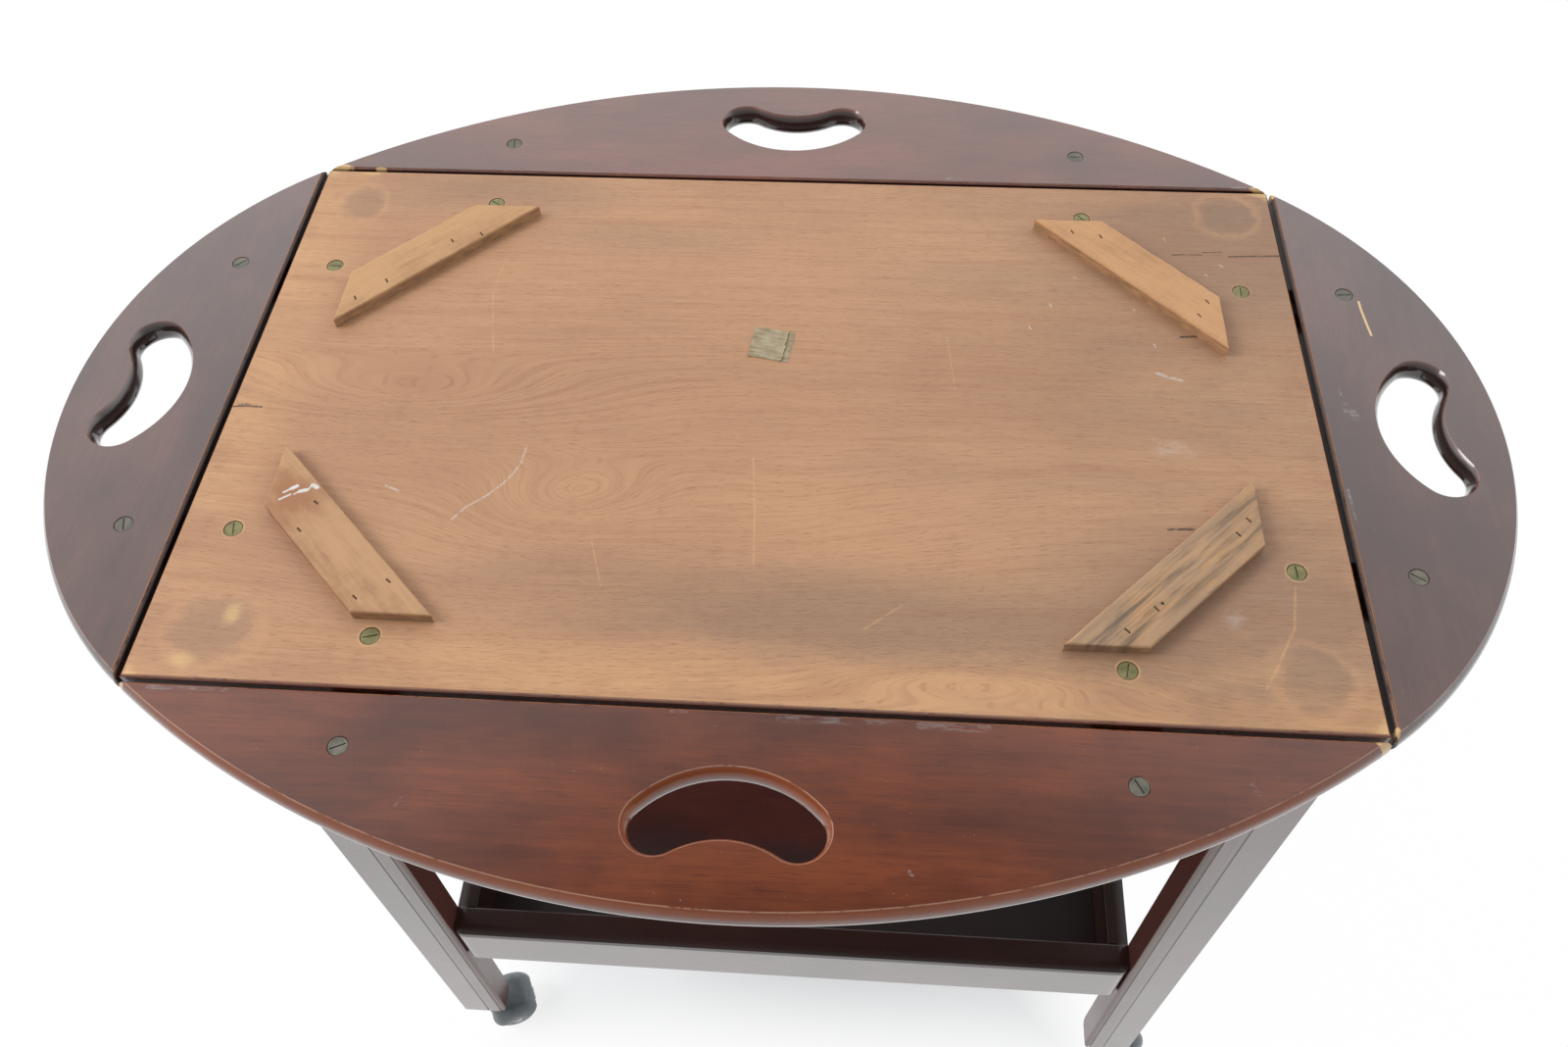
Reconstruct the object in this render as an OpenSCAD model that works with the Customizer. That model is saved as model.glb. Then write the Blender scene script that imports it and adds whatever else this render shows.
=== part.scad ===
// Serving trolley with a loose oval butler's tray.
//
// A stand on four twin-wheel castors carries a deep tray-shelf low down and an open frame at the top.
// The loose tray lies upside down on that frame, so its raw underside with the four diagonal cleats is
// on top. Its four flaps hang on spring hinges and fold towards the show face, which is down here.
//
// Frame: X along the trolley, Y from the front to the back, Z up. The origin is on the floor under the
// centre of the oval. The show face of the tray lies on the top of the stand.

/* [Tray] */
// Length of the rectangular centre panel
panel_w = 710; // [680:5:740]
// Depth of the rectangular centre panel
panel_d = 444; // [430:2:460]
// Thickness of the panel and of the flaps
board_t = 18; // [17:0.5:20]
// Width of the joint between the panel and a flap
joint_gap = 3; // [2.5:0.25:4]
// Slope of the oval's outline where a long arc meets a short arc, at a corner of the panel
oval_angle = 54; // [53:0.5:55]
// Bevel along both sides of each joint, on the underside
joint_bevel = 1.5; // [0.5:0.25:2]
// Radius of the rim on its lower, show side
rim_low_r = 8; // [6:0.5:9]
// Radius of the flatter curve above it, which ends at a sharp arris on the underside
rim_high_r = 15; // [14:0.5:20]

/* [Hand holes] */
// Distance between the centres of a hole's two lobes
lobe_pitch = 75.6; // [66:0.2:80]
// Radius of a lobe at the throat of the hole
lobe_r = 15; // [13:0.5:16]
// Rise of the side facing the panel above the line through the lobe centres
hole_crown = 31.2; // [28:0.2:33]
// Depth of the dent's top below that line, on the outer side
hole_dent = 4.2; // [3:0.2:7]
// Distance of the line through the lobe centres from the panel's edge
hole_reach = 71; // [69:0.5:73]

/* [Hinges] */
// Distance of a hinge on a long flap from the middle of its joint
long_hinge_x = 217; // [190:1:240]
// Distance of a hinge on a short flap from the middle of its joint
short_hinge_y = 117; // [105:1:130]
// Width of a hinge along its joint
hinge_w = 38; // [34:1:42]
// Length of one leaf from the pin to its round end
leaf_l = 47; // [44:0.5:50]
// Thickness of a leaf
leaf_t = 2.75; // [2.5:0.05:2.9]
// Distance of a leaf's threaded post from the pin
post_reach = 35; // [33:0.5:37]
// Diameter of a post
post_d = 5; // [4:0.5:5.5]
// Diameter of a hinge knuckle
knuckle_d = 6; // [6:0.1:6.2]
// Diameter of a hinge pin
pin_d = 2.5; // [2:0.1:3]
// Radial play of the pin in the knuckle that turns
pin_play = 0.05; // [0.02:0.01:0.1]
// Diameter of the slotted head of a nut
nut_d = 11.5; // [10:0.5:15]

/* [Cleats] */
// Width of a cleat across its grain
cleat_w = 34; // [30:1:38]
// Thickness of a cleat
cleat_t = 8; // [6:0.5:10]
// Distance cut off each corner of the frame opening by a cleat's outer side
cleat_corner = 74; // [70:1:80]
// Play of a cleat's ends in the frame opening
cleat_play = 1; // [0.5:0.25:2]

/* [Stand] */
// Height of the stand without its castors
leg_l = 673; // [640:1:700]
// Width of a leg, seen from the front
leg_w = 42; // [40:1:46]
// Thickness of the legs, the aprons and the long shelf rails
stock_t = 23.5; // [22:0.5:25]
// How far the panel overhangs the stand at each end when the tray is centred
inset_x = 27; // [25:1:29]
// How far the panel overhangs the stand at front and back when the tray is centred
inset_y = 20; // [18:1:22]
// Where the stand stands under the loose tray, to the right of the tray's centre
stand_x = 17; // [-17:1:17]
// Where the stand stands under the loose tray, towards the back of the tray's centre
stand_y = -14; // [-14:1:14]
// Height of the aprons
apron_h = 66; // [56:1:76]
// Width of the flat bead on the face of a leg
bead_w = 12.4; // [10:0.2:14]
// Width of the strip between the bead and a leg's inner arris
strip_w = 5; // [4:0.5:6]

/* [Shelf] */
// Height of the underside of the shelf above the floor
shelf_z = 227; // [180:1:300]
// Height of the shelf rails
rail_h = 66; // [56:1:76]
// Thickness of the side rails
side_rail_t = 17; // [16:0.5:20]
// Thickness of the shelf bottom
floor_t = 8; // [6:0.5:9]
// Width of the thumb moulding round the top of the rails
thumb_w = 9; // [8:0.5:10]
// Radius of that moulding
thumb_r = 18; // [16:0.5:24]

/* [Castors] */
// Height from the floor to the foot of a leg
castor_h = 52; // [50:0.5:56]
// Diameter of a wheel
wheel_d = 42; // [38:1:46]
// Overall width of a pair of wheels
wheels_w = 43; // [40:1:46]
// Distance of the wheel axle from the swivel axis
trail = 19; // [16:0.5:22]
// Diameter of a castor's stem
stem_d = 8; // [7:0.5:9]
// Diameter of a wheel axle
axle_d = 6; // [5:0.5:7]
// Radial play of a stem or an axle in its bore
castor_play = 0.05; // [0.02:0.01:0.1]

/* [Hidden] */

// Colours
RAW_WOOD = "#c8986f";
MAHOGANY = "#5b2b20";
DARK_MAHOGANY = "#40201a";
CLEAT_WOOD = "#b98d66";
BRASS = "#a39a66";
STEEL = "#8f9294";
CASTOR_GREY = "#3f4644";

// Facets of small and of large circles
FINE = 64;
LARGE = 360;
// Overshoot of a cutter past the face it opens
EPS = 1;

// Heights of the loose tray's faces
stand_h = castor_h + leg_l;
show_z = stand_h;

// Size of the stand and of the opening in its top frame
stand_w = panel_w - 2 * inset_x;
stand_d = panel_d - 2 * inset_y;
opening_x = stand_w / 2 - stock_t;
opening_y = stand_d / 2 - stock_t;
// Half the distance between the legs' inner faces
between_legs = stand_w / 2 - leg_w;

// The rim of the board stands out this far past the arris on its underside
rim_crown = rim_high_r - sqrt(pow(rim_high_r, 2) - pow(board_t - rim_low_r, 2));

// Half lengths of the long and the short joints, and the arcs over them, measured at the arris
long_half = panel_w / 2;
short_half = panel_d / 2;
long_arc_r = long_half / cos(oval_angle);
long_arc_back = long_half * tan(oval_angle);
short_arc_r = short_half / sin(oval_angle);
short_arc_back = short_half / tan(oval_angle);
// A flap's tips end this far past the ends of its joint, short of the neighbouring flap
tip_over = 0.6;

// Hinge details
leaf_sink = 0.3;
leaf_top = leaf_sink + leaf_t;
leaf_play = 0.2;
knuckle_play = 0.4;
turning_knuckle = 14;
notch_r = knuckle_d / 2 + 1.2;
spring_t = 0.5;
spring_w = 12;
spring_l = 26;
spring_tip = 1.2;
post_l = 9.5;
nut_barrel_d = 8;
nut_barrel_l = 12;
nut_head_t = 1.4;
nut_sink = 0.3;
nut_gap = 0.1;
nut_flare = 0.1;
nut_play = 0.05;
slot_w = 0.8;
slot_t = 0.9;
slot_end = 1.3;

// Stand details
groove_r = 1.1;
arris_r = 3;
foot_back_r = 21;
foot_side_r = 10;
small_round = 2;
dowel_d = 8;
dowel_l = 36;
block_side = 45;
block_h = 42;
block_drop = 12;
screw_d = 3.5;
screw_l = 28;
screw_in = 26;
screw_head_d = 7;
screw_head_t = 3;
floor_groove = 6;
floor_lip = 5;
tongue_t = 5;
field_play = 0.3;

// Castor details
socket_d = 11;
socket_l = 38;
socket_sink = 9;
socket_cap = 1.2;
stem_end_play = 0.5;
stem_hold = 14;
collar_d = 11;
collar_t = 1.2;
boss_d = 12;
boss_top = castor_h - 2 * collar_t;
hood_gap = 0.8;
hood_t = 1.5;
hood_rise = 4.6;
hub_window_r = 11;
web_t = 10;
web_foot = 10.4;
wheel_inner = 7;
shoulder_r = 12;
axle_cap_d = 9;

// The four sides of the tray: turn about Z, distance of the panel's edge, half length of the joint,
// distance of a hinge from the middle, radius of the outer arc and how far back its centre lies
FRONT = 0;
BACK = 1;
LEFT = 2;
RIGHT = 3;
SIDES = [
    [180, short_half, long_half, long_hinge_x, long_arc_r, long_arc_back],
    [0, short_half, long_half, long_hinge_x, long_arc_r, long_arc_back],
    [90, long_half, short_half, short_hinge_y, short_arc_r, short_arc_back],
    [-90, long_half, short_half, short_hinge_y, short_arc_r, short_arc_back]];

// Angles from X of the nuts' slots, for each side the two nuts in the order of the joint's own u axis
FLAP_SLOTS = [[118, 25], [97, 0], [107, 45], [4, 146]];
PANEL_SLOTS = [[78, 15], [144, 129], [102, 0], [88, 91]];

// Corners of the stand as signs along X and Y
FRONT_LEFT = [-1, -1];
FRONT_RIGHT = [1, -1];
BACK_LEFT = [-1, 1];
BACK_RIGHT = [1, 1];
CORNERS = [FRONT_LEFT, FRONT_RIGHT, BACK_LEFT, BACK_RIGHT];

// Way each castor trails at rest, as an angle from X towards the back, in the order of the corners
CASTOR_TURNS = [25, 32, 20, 28];

// Places children in a joint's own frame: u along the joint, v outwards from the hinge pins and w up from
// the show face
module at_joint(side) {
    translate([0, 0, show_z])
        rotate([0, 0, SIDES[side][0]])
            translate([0, SIDES[side][1] + joint_gap / 2, 0])
                children();
}

// Repeats children at the two hinges of a joint
module at_hinges(side) {
    at_joint(side)
        for (s = [-1, 1])
            translate([s * SIDES[side][3], 0, 0])
                children();
}

// Repeats children at all eight hinges
module at_all_hinges() {
    for (side = [FRONT, BACK, LEFT, RIGHT])
        at_hinges(side)
            children();
}

// Places children in the stand's own frame
module at_stand() {
    translate([stand_x, stand_y, 0])
        children();
}

// Mirrors children into one corner of the stand
module in_corner(corner) {
    mirror([corner[0] < 0 ? 1 : 0, 0, 0])
        mirror([0, corner[1] < 0 ? 1 : 0, 0])
            children();
}

// Section of a round board of radius r at its rim, show face at zero
module rim_section(r) {
    square([r - rim_high_r, board_t]);
    translate([r - rim_high_r, 0])
        square([rim_high_r - rim_low_r, rim_low_r]);
    intersection() {
        translate([r - rim_low_r, rim_low_r])
            circle(r = rim_low_r, $fn = FINE);
        translate([r - rim_low_r, 0])
            square([rim_low_r, rim_low_r]);
    }
    intersection() {
        translate([r - rim_high_r, rim_low_r])
            circle(r = rim_high_r, $fn = FINE);
        translate([r - rim_high_r, rim_low_r])
            square([rim_high_r, board_t - rim_low_r]);
    }
}

// Section of a board of radius r at its rim, with both faces carried on past the board, for a cutter
module open_rim_section(r) {
    difference() {
        translate([0, -2 * EPS])
            square([r, board_t + 4 * EPS]);
        difference() {
            translate([r - rim_low_r, -3 * EPS])
                square([rim_low_r + EPS, rim_low_r + 3 * EPS]);
            translate([r - rim_low_r, rim_low_r])
                circle(r = rim_low_r, $fn = FINE);
        }
        difference() {
            translate([r - rim_high_r, rim_low_r])
                square([rim_high_r + EPS, board_t]);
            translate([r - rim_high_r, rim_low_r])
                circle(r = rim_high_r, $fn = FINE);
        }
    }
}

// Section of a round hole of radius r at its throat, with the same rim as the board's edge
module hole_section(r) {
    translate([0, -EPS])
        square([r, board_t + 2 * EPS]);
    difference() {
        translate([0, -EPS])
            square([r + rim_low_r, rim_low_r + EPS]);
        translate([r + rim_low_r, rim_low_r])
            circle(r = rim_low_r, $fn = FINE);
    }
    difference() {
        translate([0, rim_low_r])
            square([r + rim_high_r, board_t - rim_low_r + EPS]);
        translate([r + rim_high_r, rim_low_r])
            circle(r = rim_high_r, $fn = FINE);
    }
}

// Part of a turned hole that lies over the given outline
module hole_sector(x, y, r, outline) {
    intersection() {
        translate([x, y, 0])
            rotate_extrude($fn = 2 * FINE)
                hole_section(r);
        translate([0, 0, -2 * EPS])
            linear_extrude(board_t + 4 * EPS)
                polygon(outline);
    }
}

// Cutter for a kidney-shaped hand hole, made of four arcs that run into each other without a corner.
// Its origin is midway between the lobes, and its crown is towards +Y. Every arc of the throat is turned
// about its own centre together with the rounding of the rim, and the sectors meet in the planes through
// two centres, so the rounding stays true all the way round.
module hand_hole() {
    a = lobe_pitch / 2;
    crown_r = (pow(a, 2) + pow(hole_crown, 2) - pow(lobe_r, 2)) / (2 * (hole_crown - lobe_r));
    crown_y = hole_crown - crown_r;
    dent_r = (pow(a, 2) + pow(hole_dent, 2) - pow(lobe_r, 2)) / (2 * (lobe_r - hole_dent));
    dent_y = -hole_dent - dent_r;
    hole_sector(0, crown_y, crown_r, [[a, 0], [2 * a, -crown_y], [2 * a, 2 * crown_r], [-2 * a, 2 * crown_r],
        [-2 * a, -crown_y], [-a, 0]]);
    for (s = [-1, 1])
        hole_sector(s * a, 0, lobe_r, [[s * a, 0], [2 * s * a, -crown_y], [4 * s * a, -crown_y],
            [4 * s * a, dent_y], [0, dent_y]]);
    difference() {
        translate([0, 0, -EPS])
            linear_extrude(board_t + 2 * EPS) {
                polygon([[-a, 0], [0, dent_y], [a, 0]]);
                for (s = [-1, 1])
                    translate([s * a, 0])
                        circle(r = lobe_r - EPS, $fn = FINE);
                translate([-a, -EPS])
                    square([2 * a, lobe_r]);
            }
        translate([0, dent_y, 0])
            rotate_extrude($fn = 2 * FINE)
                open_rim_section(dent_r);
    }
}

// Outline of a leaf past the knuckles, grown by the given amount
module leaf_outline(grow) {
    end_r = hinge_w / 2;
    translate([-end_r - grow, 0])
        square([hinge_w + 2 * grow, leaf_l - end_r]);
    translate([0, leaf_l - end_r])
        circle(r = end_r + grow, $fn = FINE);
}

// Room for one leaf, its half of the knuckles and its nut, on the side of the joint where v is positive.
// The nut's counterbore flares towards the underside.
module hinge_room() {
    nut_depth = nut_sink + nut_head_t;
    nut_bore = nut_d + 2 * nut_gap;
    translate([0, 0, -EPS])
        linear_extrude(EPS + leaf_top)
            leaf_outline(leaf_play);
    translate([-hinge_w / 2 - leaf_play, 0, 0])
        rotate([0, 90, 0])
            cylinder(r = notch_r, h = hinge_w + 2 * leaf_play, $fn = FINE);
    translate([0, post_reach, 0])
        cylinder(r = nut_barrel_d / 2 + nut_play, h = board_t + EPS, $fn = FINE);
    translate([0, post_reach, board_t - nut_depth])
        cylinder(d1 = nut_bore, d2 = nut_bore + 2 * nut_flare * (nut_depth + EPS), h = nut_depth + EPS,
            $fn = FINE);
}

// Room for a spring strip over a leaf of the panel
module spring_room() {
    translate([-spring_w / 2 - leaf_play, 0, 0])
        cube([spring_w + 2 * leaf_play, spring_l + leaf_play, leaf_top + spring_t + leaf_play]);
}

// One cylinder of a knuckle from u to u + l
module knuckle(u, l) {
    translate([u, 0, 0])
        rotate([0, 90, 0])
            cylinder(d = knuckle_d, h = l, $fn = FINE);
}

// Plate and post of one leaf, with the plate joined to knuckles over the stretches [start, length]
module leaf(stretches, bore_r) {
    difference() {
        union() {
            translate([0, 0, leaf_sink])
                linear_extrude(leaf_t)
                    difference() {
                        leaf_outline(0);
                        translate([-hinge_w, -EPS])
                            square([2 * hinge_w, EPS + knuckle_d / 2 + knuckle_play]);
                    }
            for (k = stretches) {
                knuckle(k[0], k[1]);
                translate([k[0], 0, leaf_sink])
                    cube([k[1], knuckle_d / 2 + knuckle_play + EPS, leaf_t - knuckle_play]);
            }
            translate([0, post_reach, leaf_top - EPS])
                cylinder(d = post_d, h = post_l + EPS, $fn = FINE);
        }
        translate([-hinge_w, 0, 0])
            rotate([0, 90, 0])
                cylinder(r = bore_r, h = 2 * hinge_w, $fn = FINE);
    }
}

// Leaf of a flap: one knuckle in the middle, which turns on the pin
module flap_leaf() {
    leaf([[-turning_knuckle / 2, turning_knuckle]], pin_d / 2 + pin_play);
}

// Leaf of the panel: two outer knuckles, which hold the pin
module panel_leaf() {
    outer = (hinge_w - turning_knuckle) / 2 - knuckle_play;
    mirror([0, 1, 0])
        leaf([[-hinge_w / 2, outer], [hinge_w / 2 - outer, outer]], pin_d / 2);
}

// Slotted sleeve nut on a post, with its head sunk a little below the underside
module nut(turn) {
    low = board_t - nut_barrel_l;
    top = board_t - nut_sink;
    bevel = 0.3;
    translate([0, post_reach, 0])
        difference() {
            union() {
                translate([0, 0, low])
                    cylinder(d = nut_barrel_d, h = top - bevel - low, $fn = FINE);
                translate([0, 0, top - nut_head_t])
                    cylinder(d = nut_d, h = nut_head_t - bevel, $fn = FINE);
                translate([0, 0, top - bevel])
                    cylinder(d1 = nut_d, d2 = nut_d - 2 * bevel, h = bevel, $fn = FINE);
            }
            translate([0, 0, low - EPS])
                cylinder(d = post_d, h = leaf_top + post_l - low + EPS, $fn = FINE);
            translate([0, 0, top - slot_t])
                rotate([0, 0, turn])
                    translate([slot_end - nut_d / 2, -slot_w / 2, 0])
                        cube([nut_d - 2 * slot_end, slot_w, slot_t + EPS]);
        }
}

// Two nuts of one joint, on the flap or on the panel
module nut_pair(side, on_panel) {
    angles = on_panel ? PANEL_SLOTS[side] : FLAP_SLOTS[side];
    at_joint(side)
        for (i = [0, 1])
            translate([(2 * i - 1) * SIDES[side][3], 0, 0])
                mirror([0, on_panel ? 1 : 0, 0])
                    nut((on_panel ? -1 : 1) * (angles[i] - SIDES[side][0]));
}

// Bevel cutter along a joint, over v from the edge of the board
module joint_bevel_cut(half) {
    w = joint_bevel;
    translate([-half, joint_gap / 2, board_t])
        rotate([90, 0, 90])
            linear_extrude(2 * half)
                polygon([[-EPS, EPS], [-EPS, -w - EPS], [w + EPS, EPS]]);
}

// Flap on one side, in the joint's frame
module flap(side) {
    half = SIDES[side][2];
    arc_r = SIDES[side][4];
    arc_v = -SIDES[side][5] - joint_gap / 2;
    depth = 2 * hole_reach;
    color(MAHOGANY)
        at_joint(side)
            difference() {
                intersection() {
                    translate([0, arc_v, 0])
                        rotate([0, 0, 30])
                            rotate_extrude(angle = 120, $fn = LARGE)
                                rim_section(arc_r + rim_crown);
                    translate([-half - tip_over, joint_gap / 2, -EPS])
                        cube([2 * (half + tip_over), depth, board_t + 2 * EPS]);
                }
                joint_bevel_cut(half + 10 * EPS);
                translate([0, hole_reach - joint_gap / 2, 0])
                    rotate([0, 0, 180])
                        hand_hole();
                for (s = [-1, 1])
                    translate([s * SIDES[side][3], 0, 0])
                        hinge_room();
            }
}

// Both hinge leaves of one flap
module flap_leaves(side) {
    color(BRASS)
        at_hinges(side)
            flap_leaf();
}

// Both nuts of one flap
module flap_nuts(side) {
    color(BRASS)
        nut_pair(side, false);
}

module tray_panel() {
    color(RAW_WOOD)
        difference() {
            translate([-panel_w / 2, -panel_d / 2, show_z])
                cube([panel_w, panel_d, board_t]);
            for (side = [FRONT, BACK, LEFT, RIGHT])
                at_joint(side)
                    mirror([0, 1, 0]) {
                        joint_bevel_cut(SIDES[side][2] + 10 * EPS);
                        for (s = [-1, 1])
                            translate([s * SIDES[side][3], 0, 0]) {
                                hinge_room();
                                spring_room();
                            }
                    }
        }
}

module hinge_leaves_panel() {
    color(BRASS)
        at_all_hinges()
            panel_leaf();
}

module hinge_nuts_panel() {
    color(BRASS)
        for (side = [FRONT, BACK, LEFT, RIGHT])
            nut_pair(side, true);
}

module hinge_pins() {
    color(STEEL)
        at_all_hinges()
            translate([-hinge_w / 2, 0, 0])
                rotate([0, 90, 0])
                    cylinder(d = pin_d, h = hinge_w, $fn = FINE);
}

// Flat steel strips that bear on the turning knuckles and hold each flap out flat or folded
module hinge_springs() {
    color(STEEL)
        at_all_hinges()
            translate([-spring_w / 2, -spring_l, leaf_top])
                cube([spring_w, spring_l + spring_tip, spring_t]);
}

// Cleat in the corner given by its signs. Its ends are cut to the faces of the frame opening.
module cleat(corner) {
    reach_x = opening_x - cleat_play;
    reach_y = opening_y - cleat_play;
    inner = cleat_corner + cleat_w * sqrt(2);
    color(CLEAT_WOOD)
        in_corner(corner)
            translate([0, 0, show_z + board_t])
                linear_extrude(cleat_t)
                    polygon([[reach_x, reach_y - cleat_corner], [reach_x - cleat_corner, reach_y],
                        [reach_x - inner, reach_y], [reach_x, reach_y - inner]]);
}

// Section of a leg: outer arris at the origin, outer face along Y and the moulded face along X
module leg_section() {
    difference() {
        square([leg_w, stock_t]);
        for (x = [leg_w - strip_w - bead_w, leg_w - strip_w])
            translate([x, 0])
                circle(r = groove_r, $fn = FINE);
        difference() {
            translate([leg_w - arris_r, -EPS])
                square([arris_r + EPS, arris_r + EPS]);
            translate([leg_w - arris_r, arris_r])
                circle(r = arris_r, $fn = FINE);
        }
    }
}

// Dowels of one joint, along X through the origin at the given heights
module dowel_row(heights) {
    for (z = heights)
        translate([0, 0, z])
            rotate([0, 90, 0])
                cylinder(d = dowel_d, h = dowel_l, center = true, $fn = FINE);
}

// Dowels of one frame corner: a long rail meets the leg, and a short rail meets what stands behind it
module corner_dowels(base, long_heights, short_x, short_heights) {
    translate([between_legs, stand_d / 2 - stock_t / 2, base])
        dowel_row(long_heights);
    translate([short_x, opening_y, base])
        rotate([0, 0, 90])
            dowel_row(short_heights);
}

// Dowels of the top frame in the corner with positive signs
module apron_corner_dowels() {
    rows = [apron_h / 4, 3 * apron_h / 4];
    corner_dowels(stand_h - apron_h, rows, opening_x + stock_t / 2, rows);
}

// Dowels of the shelf in the corner with positive signs. The one in the short rail passes between the
// other two.
module shelf_corner_dowels() {
    corner_dowels(shelf_z, [0.37 * rail_h, 0.81 * rail_h], between_legs - side_rail_t / 2, [0.59 * rail_h]);
}

// Leg in the corner given by its signs
module leg(corner) {
    color(MAHOGANY)
        at_stand()
            in_corner(corner)
                difference() {
                    translate([stand_w / 2, stand_d / 2, castor_h])
                        rotate([0, 0, 180])
                            difference() {
                                linear_extrude(leg_l)
                                    leg_section();
                                foot_rounds();
                                translate([leg_w / 2, stock_t / 2, -EPS])
                                    cylinder(d = socket_d, h = EPS + socket_sink + socket_l, $fn = FINE);
                            }
                    apron_corner_dowels();
                    shelf_corner_dowels();
                }
}

// Cutters that round the foot of a leg towards the back and towards the inner side
module foot_rounds() {
    translate([-EPS, stock_t - foot_back_r, -EPS])
        difference() {
            cube([leg_w + 2 * EPS, foot_back_r + EPS, foot_back_r + EPS]);
            translate([-EPS, 0, foot_back_r + EPS])
                rotate([0, 90, 0])
                    cylinder(r = foot_back_r, h = leg_w + 4 * EPS, $fn = 2 * FINE);
        }
    translate([leg_w - foot_side_r, -EPS, -EPS])
        difference() {
            cube([foot_side_r + EPS, stock_t + 2 * EPS, foot_side_r + EPS]);
            translate([0, -EPS, foot_side_r + EPS])
                rotate([-90, 0, 0])
                    cylinder(r = foot_side_r, h = stock_t + 4 * EPS, $fn = FINE);
        }
}

// Front or back apron, between the legs
module long_apron(sign_y) {
    color(MAHOGANY)
        at_stand()
            mirror([0, sign_y < 0 ? 1 : 0, 0])
                difference() {
                    translate([-between_legs, opening_y, stand_h - apron_h])
                        cube([2 * between_legs, stock_t, apron_h]);
                    for (s = [0, 1])
                        mirror([s, 0, 0]) {
                            apron_corner_dowels();
                            corner_screw_shanks();
                        }
                }
}

// Left or right apron, between the legs
module short_apron(sign_x) {
    color(MAHOGANY)
        at_stand()
            mirror([sign_x < 0 ? 1 : 0, 0, 0])
                difference() {
                    translate([opening_x, -opening_y, stand_h - apron_h])
                        cube([stock_t, 2 * opening_y, apron_h]);
                    for (s = [0, 1])
                        mirror([0, s, 0]) {
                            apron_corner_dowels();
                            corner_screw_shanks();
                        }
                }
}

module apron_dowels() {
    color(RAW_WOOD)
        at_stand()
            for (c = CORNERS)
                in_corner(c)
                    apron_corner_dowels();
}

// Places children on the axes of a corner block's two screws, at the aprons' inner faces and with Z
// pointing into the apron
module at_corner_screws() {
    middle = stand_h - block_drop - block_h / 2;
    translate([opening_x - screw_in, opening_y, middle - block_h / 5])
        rotate([-90, 0, 0])
            children();
    translate([opening_x, opening_y - screw_in, middle + block_h / 5])
        rotate([0, 90, 0])
            children();
}

// Shanks of the two screws, half in the block and half in the aprons
module corner_screw_shanks() {
    at_corner_screws()
        translate([0, 0, -screw_l / 2])
            cylinder(d = screw_d, h = screw_l, $fn = FINE);
}

// Heads of the two screws, or their counterbores when l is long
module corner_screw_heads(d, l) {
    at_corner_screws()
        translate([0, 0, -screw_l / 2 - l])
            cylinder(d = d, h = l, $fn = FINE);
}

// Glue blocks in the inner corners of the top frame
module corner_blocks() {
    color(RAW_WOOD)
        at_stand()
            for (c = CORNERS)
                in_corner(c)
                    difference() {
                        translate([opening_x, opening_y, stand_h - block_drop - block_h])
                            linear_extrude(block_h)
                                polygon([[0, 0], [-block_side, 0], [0, -block_side]]);
                        corner_screw_shanks();
                        corner_screw_heads(screw_head_d + 1, block_side);
                    }
}

module corner_block_screws() {
    color(STEEL)
        at_stand()
            for (c = CORNERS)
                in_corner(c) {
                    corner_screw_shanks();
                    corner_screw_heads(screw_head_d, screw_head_t);
                }
}

// Section of the moulded outer arris of a rail: x runs in from the outer face, y up from the rail's foot
module thumb_section(w) {
    difference() {
        square([w, rail_h]);
        difference() {
            translate([-EPS, rail_h - thumb_r])
                square([thumb_w + EPS, thumb_r + EPS]);
            translate([thumb_w, rail_h - thumb_r])
                circle(r = thumb_r, $fn = 2 * FINE);
            translate([-2 * EPS, rail_h - 2 * thumb_r])
                square([thumb_w + 3 * EPS, thumb_r + sqrt(pow(thumb_r, 2) - pow(thumb_w, 2))]);
        }
    }
}

// The same with the inner arris rounded as well
module rail_section(w) {
    difference() {
        thumb_section(w);
        difference() {
            translate([w - small_round, rail_h - small_round])
                square([small_round + EPS, small_round + EPS]);
            translate([w - small_round, rail_h - small_round])
                circle(r = small_round, $fn = FINE);
        }
    }
}

// Room for the tongue of the shelf bottom in the grooves of the rails
module tongue_room() {
    half_x = between_legs - side_rail_t + floor_groove;
    half_y = opening_y + floor_groove;
    translate([-half_x, -half_y, shelf_z + floor_lip])
        cube([2 * half_x, 2 * half_y, tongue_t]);
}

// Front or back rail of the shelf. Its outer corners are round, and the moulding goes round them.
module long_rail(sign_y) {
    straight = between_legs - thumb_w;
    color(MAHOGANY)
        at_stand()
            mirror([0, sign_y < 0 ? 1 : 0, 0])
                difference() {
                    union() {
                        translate([-straight, stand_d / 2, shelf_z])
                            rotate([90, 0, 90])
                                linear_extrude(2 * straight)
                                    mirror([1, 0])
                                        rail_section(stock_t);
                        for (s = [0, 1])
                            mirror([s, 0, 0])
                                translate([straight, stand_d / 2 - thumb_w, shelf_z]) {
                                    rotate_extrude(angle = 90, $fn = 2 * FINE)
                                        translate([thumb_w, 0])
                                            mirror([1, 0])
                                                thumb_section(thumb_w);
                                    translate([0, thumb_w - stock_t, 0])
                                        rotate([90, 0, 180])
                                            translate([-thumb_w, 0, 0])
                                                linear_extrude(stock_t - thumb_w)
                                                    thumb_section(thumb_w);
                                }
                    }
                    tongue_room();
                    for (s = [0, 1])
                        mirror([s, 0, 0])
                            shelf_corner_dowels();
                }
}

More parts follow.
